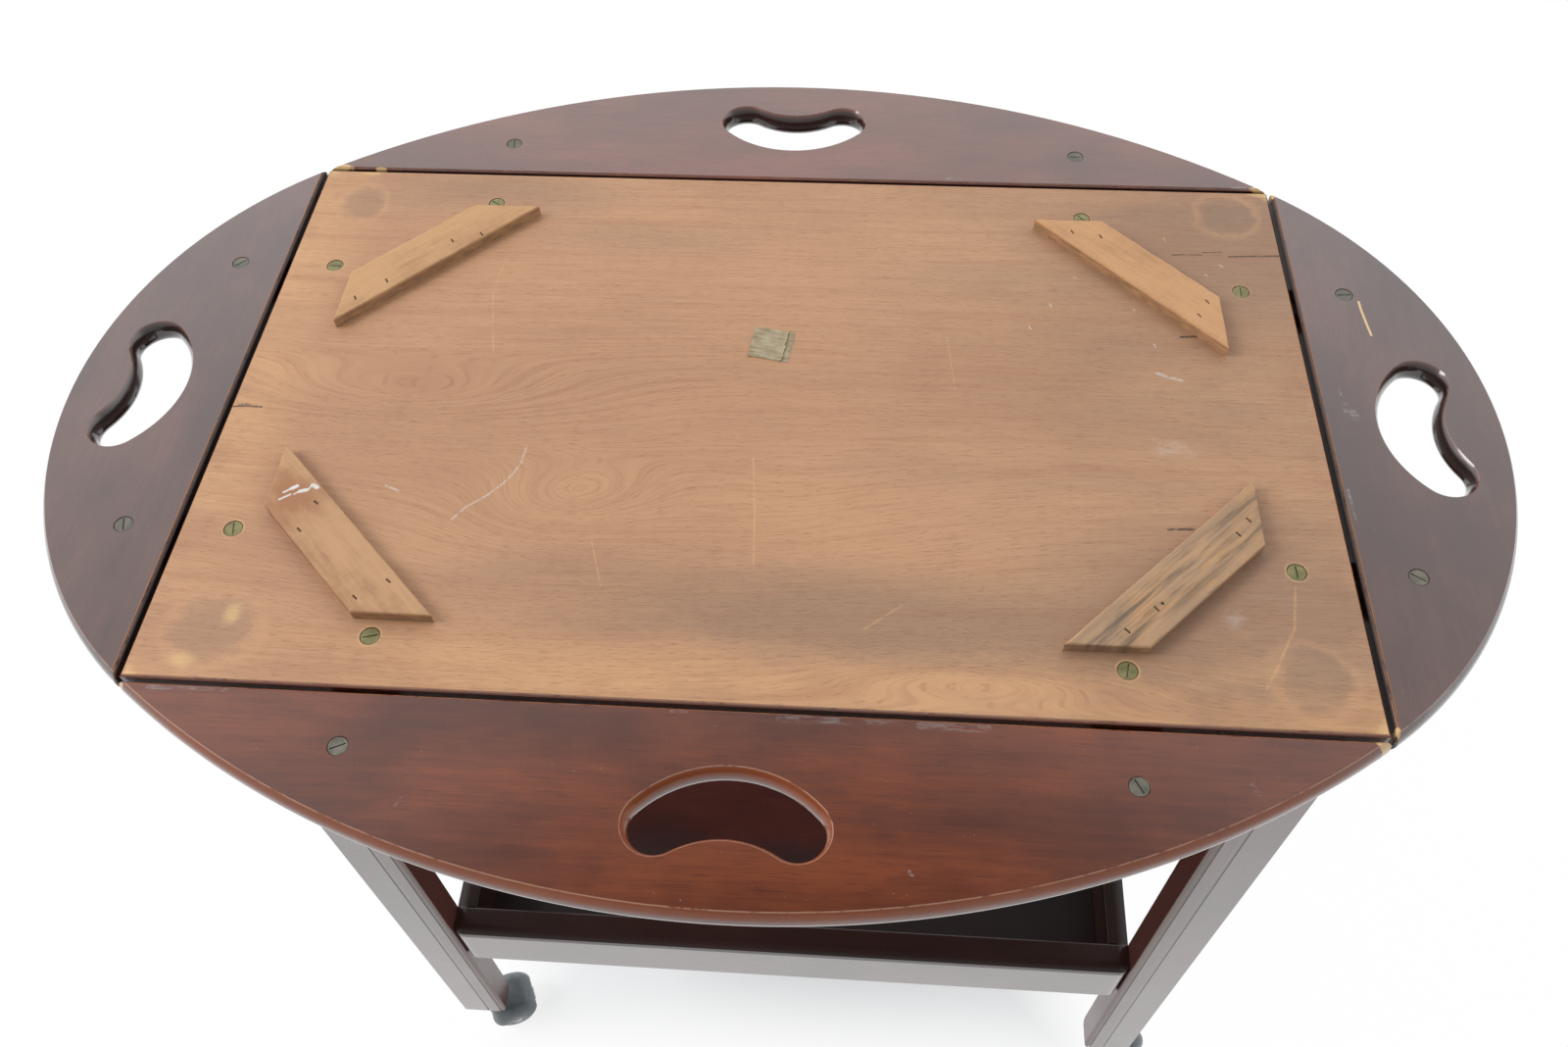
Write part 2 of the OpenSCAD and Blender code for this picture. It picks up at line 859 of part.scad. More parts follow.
// Left or right rail of the shelf, between the long rails
module short_rail(sign_x) {
    color(MAHOGANY)
        at_stand()
            mirror([sign_x < 0 ? 1 : 0, 0, 0])
                difference() {
                    translate([between_legs, -opening_y, shelf_z])
                        rotate([90, 0, 180])
                            linear_extrude(2 * opening_y)
                                rail_section(side_rail_t);
                    tongue_room();
                    for (s = [0, 1])
                        mirror([0, s, 0])
                            shelf_corner_dowels();
                }
}

// Bottom of the shelf: a board with a thinner tongue all round
module shelf_floor() {
    half_x = between_legs - side_rail_t - field_play;
    half_y = opening_y - field_play;
    color(DARK_MAHOGANY)
        at_stand() {
            tongue_room();
            translate([-half_x, -half_y, shelf_z + floor_lip])
                cube([2 * half_x, 2 * half_y, floor_t]);
        }
}

module shelf_dowels() {
    color(RAW_WOOD)
        at_stand()
            for (c = CORNERS)
                in_corner(c)
                    shelf_corner_dowels();
}

// Places children at the swivel axis of the castor in the given corner, at the floor
module at_swivel(corner) {
    at_stand()
        translate([corner[0] * (stand_w / 2 - leg_w / 2), corner[1] * (stand_d / 2 - stock_t / 2), 0])
            children();
}

// Places children as at_swivel does, with X the way the castor trails
module at_castor(corner) {
    at_swivel(corner)
        rotate([0, 0, CASTOR_TURNS[(corner[0] + 1) / 2 + corner[1] + 1]])
            children();
}

module castor_sockets() {
    color(STEEL)
        for (c = CORNERS)
            at_swivel(c)
                translate([0, 0, castor_h + socket_sink])
                    difference() {
                        cylinder(d = socket_d, h = socket_l, $fn = FINE);
                        translate([0, 0, -EPS])
                            cylinder(r = stem_d / 2 + castor_play, h = socket_l + EPS - socket_cap, $fn = FINE);
                    }
}

// Stem pressed into the hood's boss, with a collar on top of it
module castor_stem(corner) {
    foot = boss_top - stem_hold;
    top = castor_h + socket_sink + socket_l - socket_cap;
    color(STEEL)
        at_castor(corner) {
            translate([0, 0, foot])
                cylinder(d = stem_d, h = top - stem_end_play - foot, $fn = FINE);
            translate([0, 0, boss_top])
                cylinder(d = collar_d, h = collar_t, $fn = FINE);
        }
}

// Half of a wheel pair's outline as a section: x is the radius and y the distance from the middle
module ball_section(r, half) {
    square([r - shoulder_r, half]);
    square([r, half - shoulder_r]);
    intersection() {
        translate([r - shoulder_r, half - shoulder_r])
            circle(r = shoulder_r, $fn = FINE);
        translate([r - shoulder_r, half - shoulder_r])
            square([shoulder_r, shoulder_r]);
    }
}

// Solid of both halves about the wheel axis
module ball(r, half) {
    for (s = [0, 1])
        mirror([0, s, 0])
            rotate([-90, 0, 0])
                rotate_extrude($fn = 2 * FINE)
                    ball_section(r, half);
}

// Hood over a pair of wheels with the web between them and the boss for the stem
module castor_hood(corner) {
    r = wheel_d / 2;
    inner_half = wheels_w / 2 + hood_gap;
    inner_r = r + hood_gap;
    outer_r = inner_r + hood_t;
    color(CASTOR_GREY)
        at_castor(corner)
            difference() {
                union() {
                    translate([trail, 0, r])
                        intersection() {
                            difference() {
                                ball(outer_r, inner_half + hood_t);
                                ball(inner_r, inner_half);
                                rotate([90, 0, 0])
                                    cylinder(r = hub_window_r, h = 2 * wheels_w, center = true, $fn = FINE);
                            }
                            translate([-outer_r - EPS, -wheels_w, hood_rise])
                                cube([2 * outer_r, 2 * wheels_w, outer_r]);
                        }
                    intersection() {
                        translate([trail, 0, r])
                            rotate([90, 0, 0])
                                cylinder(r = inner_r + hood_t / 2, h = web_t, center = true, $fn = 2 * FINE);
                        translate([trail - outer_r - EPS, -wheels_w, web_foot])
                            cube([2 * outer_r + 2 * EPS, 2 * wheels_w, 3 * outer_r]);
                    }
                    translate([0, 0, r])
                        cylinder(d = boss_d, h = boss_top - r, $fn = FINE);
                }
                translate([0, 0, boss_top - stem_hold])
                    cylinder(d = stem_d, h = castor_h, $fn = FINE);
                translate([trail, 0, r])
                    rotate([90, 0, 0])
                        cylinder(r = axle_d / 2 + castor_play, h = 2 * wheels_w, center = true, $fn = FINE);
            }
}

// Axle with a domed cap on each end
module castor_axle(corner) {
    r = wheel_d / 2;
    color(STEEL)
        at_castor(corner)
            translate([trail, 0, r]) {
                rotate([90, 0, 0])
                    cylinder(d = axle_d, h = wheels_w, center = true, $fn = FINE);
                for (s = [0, 1])
                    mirror([0, s, 0])
                        translate([0, wheels_w / 2, 0])
                            rotate([-90, 0, 0])
                                cylinder(d1 = axle_cap_d, d2 = axle_cap_d - 2, h = 1, $fn = FINE);
            }
}

// The two wheels of a castor, pressed onto the axle
module castor_wheels(corner) {
    r = wheel_d / 2;
    color(CASTOR_GREY)
        at_castor(corner)
            translate([trail, 0, r])
                for (s = [0, 1])
                    mirror([0, s, 0])
                        rotate([-90, 0, 0])
                            rotate_extrude($fn = 2 * FINE)
                                intersection() {
                                    ball_section(r, wheels_w / 2);
                                    translate([axle_d / 2, wheel_inner])
                                        square([r, wheels_w]);
                                }
}

tray_panel();
cleat(FRONT_LEFT);  // cleat_front_left
cleat(FRONT_RIGHT);  // cleat_front_right
cleat(BACK_LEFT);  // cleat_back_left
cleat(BACK_RIGHT);  // cleat_back_right
hinge_leaves_panel();
hinge_nuts_panel();
hinge_pins();
hinge_springs();
flap(FRONT);  // flap_front
flap_leaves(FRONT);  // hinge_leaves_front
flap_nuts(FRONT);  // hinge_nuts_front
flap(BACK);  // flap_back
flap_leaves(BACK);  // hinge_leaves_back
flap_nuts(BACK);  // hinge_nuts_back
flap(LEFT);  // flap_left
flap_leaves(LEFT);  // hinge_leaves_left
flap_nuts(LEFT);  // hinge_nuts_left
flap(RIGHT);  // flap_right
flap_leaves(RIGHT);  // hinge_leaves_right
flap_nuts(RIGHT);  // hinge_nuts_right
leg(FRONT_LEFT);  // leg_front_left
leg(FRONT_RIGHT);  // leg_front_right
leg(BACK_LEFT);  // leg_back_left
leg(BACK_RIGHT);  // leg_back_right
long_apron(-1);  // apron_front
long_apron(1);  // apron_back
short_apron(-1);  // apron_left
short_apron(1);  // apron_right
apron_dowels();
corner_blocks();
corner_block_screws();
long_rail(-1);  // shelf_rail_front
long_rail(1);  // shelf_rail_back
short_rail(-1);  // shelf_rail_left
short_rail(1);  // shelf_rail_right
shelf_floor();
shelf_dowels();
castor_sockets();
castor_stem(FRONT_LEFT);  // castor_stem_front_left
castor_hood(FRONT_LEFT);  // castor_hood_front_left
castor_axle(FRONT_LEFT);  // castor_axle_front_left
castor_wheels(FRONT_LEFT);  // castor_wheels_front_left
castor_stem(FRONT_RIGHT);  // castor_stem_front_right
castor_hood(FRONT_RIGHT);  // castor_hood_front_right
castor_axle(FRONT_RIGHT);  // castor_axle_front_right
castor_wheels(FRONT_RIGHT);  // castor_wheels_front_right
castor_stem(BACK_LEFT);  // castor_stem_back_left
castor_hood(BACK_LEFT);  // castor_hood_back_left
castor_axle(BACK_LEFT);  // castor_axle_back_left
castor_wheels(BACK_LEFT);  // castor_wheels_back_left
castor_stem(BACK_RIGHT);  // castor_stem_back_right
castor_hood(BACK_RIGHT);  // castor_hood_back_right
castor_axle(BACK_RIGHT);  // castor_axle_back_right
castor_wheels(BACK_RIGHT);  // castor_wheels_back_right
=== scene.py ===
"""Looks of a serving trolley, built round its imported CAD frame.

A loose oval butler's tray lies upside down on a four-legged stand on castors, so its bare underside, four
diagonal cleats and slotted hinge nuts face up. X runs to the right, Y to the back and Z up, as in the frame,
and the origin is on the floor under the middle of the tray. Lengths are metres, apart from the rows of marks,
which are millimetres.
"""

import logging
import math
from dataclasses import dataclass
from enum import Enum
from functools import reduce
from typing import Any, ClassVar

import bpy
import numpy as np
from mathutils import Matrix, Vector


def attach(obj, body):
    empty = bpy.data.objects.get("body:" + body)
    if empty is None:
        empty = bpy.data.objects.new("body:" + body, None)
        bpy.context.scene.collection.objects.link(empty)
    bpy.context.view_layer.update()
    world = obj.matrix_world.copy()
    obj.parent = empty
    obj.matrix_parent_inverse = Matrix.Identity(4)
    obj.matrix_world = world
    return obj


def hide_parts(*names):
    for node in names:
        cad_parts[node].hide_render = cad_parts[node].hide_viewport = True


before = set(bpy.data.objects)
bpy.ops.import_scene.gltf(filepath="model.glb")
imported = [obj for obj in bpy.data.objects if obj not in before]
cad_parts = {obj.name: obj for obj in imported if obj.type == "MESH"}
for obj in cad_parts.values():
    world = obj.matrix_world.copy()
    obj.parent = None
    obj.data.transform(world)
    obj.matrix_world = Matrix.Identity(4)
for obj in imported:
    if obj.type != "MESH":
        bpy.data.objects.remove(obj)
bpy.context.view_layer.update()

LOG = logging.getLogger("trolley")
MM = 0.001
SUNK = "sunk"

Colour = tuple[float, float, float]
Place = tuple[float, float, float]
Point = tuple[float, float]
Rows = tuple[tuple[float, ...], ...]
Array = np.ndarray


def top_of(node: str) -> float:
    """The height of a CAD node's highest point."""
    return max(vertex.co.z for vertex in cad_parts[node].data.vertices)


UNDERSIDE = top_of("tray_panel")
CLEAT_TOP = top_of("cleat_front_left")


# Shader arithmetic


class Signal:
    """A number that varies over a surface: a shader socket on which Python's operators add Math nodes."""

    def __init__(self, graph: "Graph", socket: bpy.types.NodeSocket) -> None:
        """Wraps one output socket of a graph."""
        self.graph = graph
        self.socket = socket

    def _math(self, operation: str, *values: "Signal | float") -> "Signal":
        """The Math node of that operation on the values."""
        return self.graph.node("ShaderNodeMath", {"operation": operation}, dict(enumerate(values)))

    def __add__(self, other: "Signal | float") -> "Signal":
        """self + other."""
        return self._math("ADD", self, other)

    def __radd__(self, other: float) -> "Signal":
        """other + self."""
        return self._math("ADD", other, self)

    def __sub__(self, other: "Signal | float") -> "Signal":
        """self - other."""
        return self._math("SUBTRACT", self, other)

    def __rsub__(self, other: float) -> "Signal":
        """other - self."""
        return self._math("SUBTRACT", other, self)

    def __mul__(self, other: "Signal | float") -> "Signal":
        """self * other."""
        return self._math("MULTIPLY", self, other)

    def __rmul__(self, other: float) -> "Signal":
        """other * self."""
        return self._math("MULTIPLY", other, self)

    def __truediv__(self, other: "Signal | float") -> "Signal":
        """self / other."""
        return self._math("DIVIDE", self, other)

    def __abs__(self) -> "Signal":
        """The size of self without its sign."""
        return self._math("ABSOLUTE", self)

    def exp(self) -> "Signal":
        """e to the power self."""
        return self._math("EXPONENT", self)

    def root(self) -> "Signal":
        """The square root of self."""
        return self._math("SQRT", self)

    def least(self, other: "Signal | float") -> "Signal":
        """The lesser of self and other."""
        return self._math("MINIMUM", self, other)

    def most(self, other: "Signal | float") -> "Signal":
        """The greater of self and other."""
        return self._math("MAXIMUM", self, other)

    def rise(self, low: float, high: float) -> "Signal":
        """A smooth step: 0 where self is at or below low, 1 where it is at or above high."""
        return self.graph.node("ShaderNodeMapRange", {"interpolation_type": "SMOOTHSTEP"},
                               {0: self, 1: low, 2: high, 3: 0.0, 4: 1.0})

    def fall(self, low: float, high: float) -> "Signal":
        """A smooth step down: 1 where self is at or below low, 0 where it is at or above high."""
        return 1.0 - self.rise(low, high)


class Graph:
    """The node tree of one material or of the world."""

    def __init__(self, tree: bpy.types.NodeTree) -> None:
        """Empties the tree and starts on it."""
        tree.nodes.clear()
        self.tree = tree
        self._place: tuple[Signal, Signal, Signal] | None = None

    def node(self, kind: str, settings: dict[str, Any] | None = None,
             sockets: dict[Any, Any] | None = None, out: int | str = 0) -> Signal:
        """Adds a node.

        Args:
            kind: the node's type.
            settings: its properties, or "stops" for the (place, colour) pairs of a ramp; they are set first.
            sockets: by input name or index, a Signal to link or a value to set.
            out: the output wanted, by name or index.

        Returns:
            That output as a Signal.
        """
        made = self.tree.nodes.new(kind)
        for key, value in (settings or {}).items():
            if key == "stops":
                ramp = made.color_ramp
                ramp.elements.remove(ramp.elements[-1])
                ramp.elements[0].position, ramp.elements[0].color = value[0][0], (*value[0][1], 1.0)
                for place, colour in value[1:]:
                    ramp.elements.new(place).color = (*colour, 1.0)
            else:
                setattr(made, key, value)
        for key, value in (sockets or {}).items():
            socket = made.inputs[key]
            if isinstance(value, Signal):
                self.tree.links.new(value.socket, socket)
            elif isinstance(value, tuple) and socket.type == "RGBA":
                socket.default_value = (*value, 1.0)
            else:
                socket.default_value = value
        return Signal(self, made.outputs[out])

    def close(self, shader: Signal, output: str) -> None:
        """Links a shader to an output node of that type."""
        self.tree.links.new(shader.socket, self.tree.nodes.new(output).inputs["Surface"])

    def place(self) -> tuple[Signal, Signal, Signal]:
        """Where the shaded place is.

        Returns:
            The X, Y and Z of Object coordinates, the frame's own, as every object sits at the origin.
        """
        if self._place is None:
            spot = self.node("ShaderNodeTexCoord", out="Object")
            split = self.node("ShaderNodeSeparateXYZ", sockets={0: spot})
            outputs = split.socket.node.outputs
            self._place = tuple(Signal(self, outputs[i]) for i in range(3))
        return self._place

    def point(self, x: Signal | float, y: Signal | float, z: Signal | float) -> Signal:
        """A vector of three numbers."""
        return self.node("ShaderNodeCombineXYZ", sockets={0: x, 1: y, 2: z})

    def noise(self, x: Signal | float, y: Signal | float, z: Signal | float, detail: float = 2.0,
              rough: float = 0.5) -> Signal:
        """Smooth noise from 0 to 1, about one swell to a unit of x, y and z."""
        return self.node("ShaderNodeTexNoise", {"noise_dimensions": "3D"},
                         {"Vector": self.point(x, y, z), "Scale": 1.0, "Detail": detail, "Roughness": rough})

    def mix(self, share: Signal | float, low: Signal | Colour, high: Signal | Colour) -> Signal:
        """The colour from low at share 0 to high at share 1."""
        return self.node("ShaderNodeMix", {"data_type": "RGBA"}, {0: share, 6: low, 7: high}, out=2)

    def bump(self, height: Signal, distance: float) -> Signal:
        """A normal tilted as if the surface stood distance metres higher where height is 1."""
        return self.node("ShaderNodeBump", sockets={"Height": height, "Distance": distance, "Strength": 1.0})

    def spot(self, middle_x: float, middle_y: float, half_x: float, half_y: float,
             turn: float = 0.0) -> Signal:
        """How far a place is from an ellipse's middle, in the ellipse's own radii.

        Args:
            middle_x, middle_y: the middle, in millimetres.
            half_x, half_y: the two radii, in millimetres.
            turn: the angle of the first radius from X, in degrees.

        Returns:
            sqrt((u / half_x)^2 + (v / half_y)^2), where u and v are X and Y turned to the ellipse's axes.
        """
        x, y, _ = self.place()
        cos, sin = math.cos(math.radians(turn)), math.sin(math.radians(turn))
        right, up = x - middle_x * MM, y - middle_y * MM
        u = (right * cos + up * sin) / (half_x * MM)
        v = (up * cos - right * sin) / (half_y * MM)
        return (u * u + v * v).root()

    def stroke(self, start: Point, end: Point, width: float) -> Signal:
        """A straight scratch.

        Args:
            start, end: its two ends, X and Y, in metres.
            width: its width, in metres.

        Returns:
            1 on the line, fading to 0 at its edge by the distance from a place to the line's nearest point.
            That point is start + t (end - start), where t is the place's share along it, kept from 0 to 1.
        """
        x, y, _ = self.place()
        run, rise = end[0] - start[0], end[1] - start[1]
        square = run * run + rise * rise
        right, up = x - start[0], y - start[1]
        t = (right * (run / square) + up * (rise / square)).most(0.0).least(1.0)
        across, along = right - t * run, up - t * rise
        return (across * across + along * along).root().fall(0.35 * width, 0.65 * width)

    def trail(self, width: float, *ends: float) -> Signal:
        """A scratch through several points.

        Args:
            width: its width, in millimetres.
            ends: the X and Y of each point in turn, in millimetres.

        Returns:
            The greatest of the straight strokes from each point to the next.
        """
        points = [(x * MM, y * MM) for x, y in zip(ends[::2], ends[1::2])]
        return reduce(Signal.most, [self.stroke(*pair, width * MM) for pair in zip(points, points[1:])])

    def trails(self, rows: Rows) -> Signal:
        """Several scratches: the greatest of their trails."""
        return reduce(Signal.most, [self.trail(*row) for row in rows])


# Finishes


class Grain(Enum):
    """Which way a board's grain runs."""

    X = "x"
    Y = "y"
    Z = "z"
    RISING = "rising"
    FALLING = "falling"

    def axes(self, graph: Graph) -> tuple[Signal, Signal, Signal]:
        """The coordinates turned to the grain.

        Args:
            graph: the material's graph.

        Returns:
            Object coordinates along the grain, across it and through the board.
        """
        x, y, z = graph.place()
        if self is Grain.X:
            return x, y, z
        if self is Grain.Y:
            return y, x, z
        if self is Grain.Z:
            return z, x, y
        side = 1.0 if self is Grain.RISING else -1.0
        half = math.sqrt(0.5)
        return (x + y * side) * half, (y - x * side) * half, z


@dataclass(frozen=True)
class Figure:
    """The figure of a wood.

    A growth band is as wide as band and about as long as stretch, a fibre is as wide as fibre, and a pore is
    as long as pore. All of them wander across the grain by up to half of wander.
    """

    band: float = 0.009
    stretch: float = 0.35
    fibre: float = 0.0009
    pore: float = 0.009
    wander: float = 0.010

    def line(self, graph: Graph, grain: Grain) -> tuple[Signal, Signal, Signal]:
        """The coordinates along the figure's own lines.

        Args:
            graph: the material's graph.
            grain: the way the grain runs.

        Returns:
            The coordinates along the grain, across it after it has wandered, and through the board.
        """
        along, across, through = grain.axes(graph)
        swing = graph.noise(along * 3.1, across * 7.0, through * 7.0, 2.0)
        return along, across + (swing - 0.5) * self.wander, through

    def bands(self, graph: Graph, along: Signal, across: Signal, through: Signal) -> Signal:
        """Growth bands, from 0 to 1: noise that is one band wide and long along the grain."""
        return graph.noise(along / self.stretch, across / self.band, through / self.band, 4.0, 0.62)

    def fibres(self, graph: Graph, along: Signal, across: Signal, through: Signal) -> Signal:
        """Fine fibre lines, from 0 to 1."""
        return graph.noise(along * 22.0, across / self.fibre, through / self.fibre, 2.0, 0.6)

    def pores(self, graph: Graph, along: Signal, across: Signal, through: Signal) -> Signal:
        """Open pores: short dark dashes, 1 inside them."""
        thin = 0.8 * self.fibre
        return graph.noise(along / self.pore, across / thin, through / thin, 1.0).rise(0.60, 0.70)


class Finish:
    """What every finish does: it makes one material for each way the grain runs, and keeps it."""

    name: str
    _made: ClassVar[dict[str, bpy.types.Material]] = {}

    def material(self, grain: Grain = Grain.X) -> bpy.types.Material:
        """The material of this finish.

        Args:
            grain: the way the grain runs.

        Returns:
            The material, which is made at the first call and kept for the next ones.
        """
        key = f"{self.name}_{grain.value}"
        if key not in Finish._made:
            made = bpy.data.materials.new(key)
            made.use_nodes = True
            graph = Graph(made.node_tree)
            graph.close(self.shader(graph, grain), "ShaderNodeOutputMaterial")
            Finish._made[key] = made
        return Finish._made[key]

    def shader(self, graph: Graph, grain: Grain) -> Signal:
        """The shader of this finish; each finish has its own."""
        raise NotImplementedError


def principled(graph: Graph, colour: Signal, roughness: Signal | float, normal: Signal, metallic: float = 0.0,
               coat: Signal | float = 0.0, coat_roughness: float = 0.1, coat_ior: float = 1.5,
               gleam: float = 0.5) -> Signal:
    """A Principled BSDF.

    Args:
        graph: the material's graph.
        colour, roughness, normal, metallic: its surface.
        coat, coat_roughness, coat_ior: how much clear coat lies on it, how dull it is, and how it shines.
        gleam: the level of the surface's own shine, where 0.5 is plain.

    Returns:
        The shader.
    """
    return graph.node("ShaderNodeBsdfPrincipled", sockets={
        "Base Color": colour, "Roughness": roughness, "Metallic": metallic, "IOR": 1.5,
        "Specular IOR Level": gleam, "Normal": normal, "Coat Weight": coat, "Coat Roughness": coat_roughness,
        "Coat IOR": coat_ior})


@dataclass(frozen=True)
class Lacquer(Finish):
    """Dark red-brown stain under a satin lacquer, rubbed through to bare wood along the joint arrises.

    A row of chips is one Graph.spot, and a row of scuffs or the scratch is one Graph.trail.
    """

    name: str = "mahogany_lacquer"
    deep: Colour = (0.076, 0.0138, 0.0045)
    warm: Colour = (0.225, 0.048, 0.0120)
    bare: Colour = (0.420, 0.170, 0.060)
    raw: Colour = (0.760, 0.460, 0.200)
    # Partly wear and partly a painted highlight: the colour of the line along the rims' upper arris.
    thin: Colour = (0.560, 0.300, 0.200)
    dust: Colour = (0.430, 0.410, 0.410)
    rim: Colour = (0.320, 0.085, 0.030)
    # Painted shade: a near-black colour for the flaps' edges and hand-hole walls.
    wall_shade: Colour = (0.010, 0.004, 0.003)
    # Painted shade: the dark colour of the narrow strip in the joint gap beside the panel.
    gap: Colour = (0.012, 0.006, 0.005)
    roughness: float = 0.30
    coat: float = 1.0
    coat_roughness: float = 0.14
    coat_ior: float = 1.70
    gleam: float = 0.15
    streaks: float = 0.30
    joint_x: float = 358.0 * MM
    joint_y: float = 225.0 * MM
    front: Point = (-270.0 * MM, -200.0 * MM)
    arris: float = 1.1 * MM
    figure: Figure = Figure(band=0.006, stretch=0.12, fibre=0.0011, pore=0.015, wander=0.012)
    chips: Rows = (
        (-350.0, 226.2, 13.0, 3.0), (350.0, 226.2, 9.0, 2.8), (353.5, -226.5, 8.0, 3.5),
        (-354.5, -226.2, 4.5, 1.6), (-315.0, 225.6, 5.0, 1.2), (359.0, 219.5, 1.6, 4.0),
        (359.0, -218.5, 1.6, 4.0))
    scuffs: Rows = (
        (4.2, 24.0, -228.8, 62.0, -228.3), (2.6, 70.0, -228.4, 93.0, -228.4),
        (4.4, 101.0, -229.0, 138.0, -229.0), (3.0, 124.0, -230.0, 129.0, -230.0),
        (3.0, -335.0, -228.0, -290.0, -227.5), (2.0, -36.0, -227.5, -28.0, -227.5),
        (3.0, 120.0, 229.0, 130.0, 229.0), (2.4, 330.0, 227.0, 344.0, 227.0), (5.0, 377.0, 10.0, 379.0, 4.0),
        (3.0, 374.0, 16.0, 373.0, 10.0), (1.4, 372.0, 29.0, 372.5, 24.0),
        (1.8, 362.5, -54.0, 363.2, -78.0), (3.0, 276.0, -255.0, 279.0, -259.0),
        (1.8, -174.5, -287.0, -177.0, -291.5), (1.8, 96.0, -312.0, 97.5, -314.0))
    scratch: tuple[float, ...] = (1.6, 400.1, 110.4, 400.3, 102.0, 401.5, 88.0, 402.5, 78.9)

    def shader(self, graph: Graph, grain: Grain) -> Signal:
        """Stain that follows the grain, pores and fine dust in the lacquer, and rubbed arrises.

        Args:
            graph: the material's graph.
            grain: the way the grain runs.

        Returns:
            The shader.
        """
        along, across, through = self.figure.line(graph, grain)
        bands = self.figure.bands(graph, along, across, through)
        pores = self.figure.pores(graph, along, across, through)
        fibres = self.figure.fibres(graph, along, across, through)
        x, y, z = graph.place()
        clouds = graph.noise(along * 7.0, across * 15.0, through * 15.0, 4.0, 0.62)
        tone = bands * self.streaks + clouds * 0.85 - 0.5 * self.streaks
        colour = graph.mix(tone.rise(0.22, 0.68), self.deep, self.warm)
        colour = graph.mix(pores * 0.45 + fibres.rise(0.45, 0.75) * 0.30, colour, self.deep)
        specks = graph.noise(x * 520.0, y * 520.0, z * 520.0, 1.0).rise(0.775, 0.82)
        colour = graph.mix(specks * 0.22, colour, self.dust)
        # Painted shade: a narrow strip of each side flap's edge at the joint is darkened and loses most of
        # its coat, for the shade in the gap.
        outside = abs(x) - self.joint_x
        strip = outside.rise(-0.1 * MM, 0.0) * outside.fall(1.4 * self.arris, 1.8 * self.arris)
        colour, hidden = self.shaded(graph, graph.mix(strip * 0.7, colour, self.gap))
        hidden = hidden * (1.0 - strip * 0.9)
        rubbed = self.rubbed(graph)
        colour = self.worn(graph, graph.mix(rubbed, colour, self.bare))
        smudges = graph.noise(x * 14.0, y * 14.0, z * 14.0, 4.0, 0.6)
        roughness = self.roughness + (smudges - 0.5) * 0.22 + rubbed * 0.3
        ripple = graph.noise(x * 60.0, y * 60.0, z * 60.0, 1.0) * 0.6 + bands * 0.15 - pores * 0.12
        return principled(graph, colour, roughness, graph.bump(ripple, 0.10 * MM),
                          coat=(1.0 - rubbed) * hidden * self.coat, coat_roughness=self.coat_roughness,
                          coat_ior=self.coat_ior, gleam=self.gleam)

    def shaded(self, graph: Graph, colour: Signal) -> tuple[Signal, Signal | float]:
        """The colour and the share of the coat by height.

        Args:
            graph: the material's graph.
            colour: the stain without it.

        Returns:
            The stain, which is thin and warm on the upper part of the front rim and, as painted shade, nearly
            black in the other flaps' edges and hand holes, and the coat's share, less on the rim.
        """
        _, y, z = graph.place()
        # Painted shade: below the underside, the edges and hand-hole walls of all but the front flap go
        # nearly black.
        edges = z.fall(UNDERSIDE - 3.0 * MM, UNDERSIDE - 0.8 * MM) * y.rise(*self.front)
        edges = edges * z.rise(UNDERSIDE - 18.5 * MM, UNDERSIDE - 18.0 * MM)
        colour = graph.mix(edges * 0.85, colour, self.wall_shade)
        upper = z.rise(UNDERSIDE - 9.0 * MM, UNDERSIDE - 4.0 * MM)
        upper = upper * z.fall(UNDERSIDE - 0.4 * MM, UNDERSIDE - 0.1 * MM) * y.fall(*self.front)
        return graph.mix(upper * 0.60, colour, self.rim), 1.0 - upper * 0.68

    def rubbed(self, graph: Graph) -> Signal:
        """Where the arris along a joint is rubbed bare.

        Args:
            graph: the material's graph.

        Returns:
            1 near the joint's line and the underside, in broken lengths.
        """
        x, y, z = graph.place()
        beside = abs(abs(y) - self.joint_y).fall(0.3 * self.arris, self.arris)
        inner = abs(abs(x) - self.joint_x - 1.9 * self.arris).fall(0.15 * self.arris, 0.50 * self.arris)
        upper = z.rise(UNDERSIDE - 1.6 * MM, UNDERSIDE - 0.2 * MM)
        broken = graph.noise(x * 55.0, y * 55.0, 0.0, 3.0, 0.7)
        return upper * (beside * broken.rise(0.50, 0.62)).most(inner * broken.rise(0.36, 0.52) * 0.7)

    def worn(self, graph: Graph, colour: Signal) -> Signal:
        """Lays the marks of use on the stain.

        Args:
            graph: the material's graph.
            colour: the stain without them.

        Returns:
            The colour with a thin warm line along the rim's upper arris, partly wear and partly a painted
            highlight that is strongest on the front flap, raw chips at the tips of the flaps, scuffs along
            the front joint and beside the right one, and one long scratch down to the wood.
        """
        x, y, z = graph.place()
        fray = graph.noise(x * 95.0, y * 95.0, z * 95.0, 3.0, 0.65)
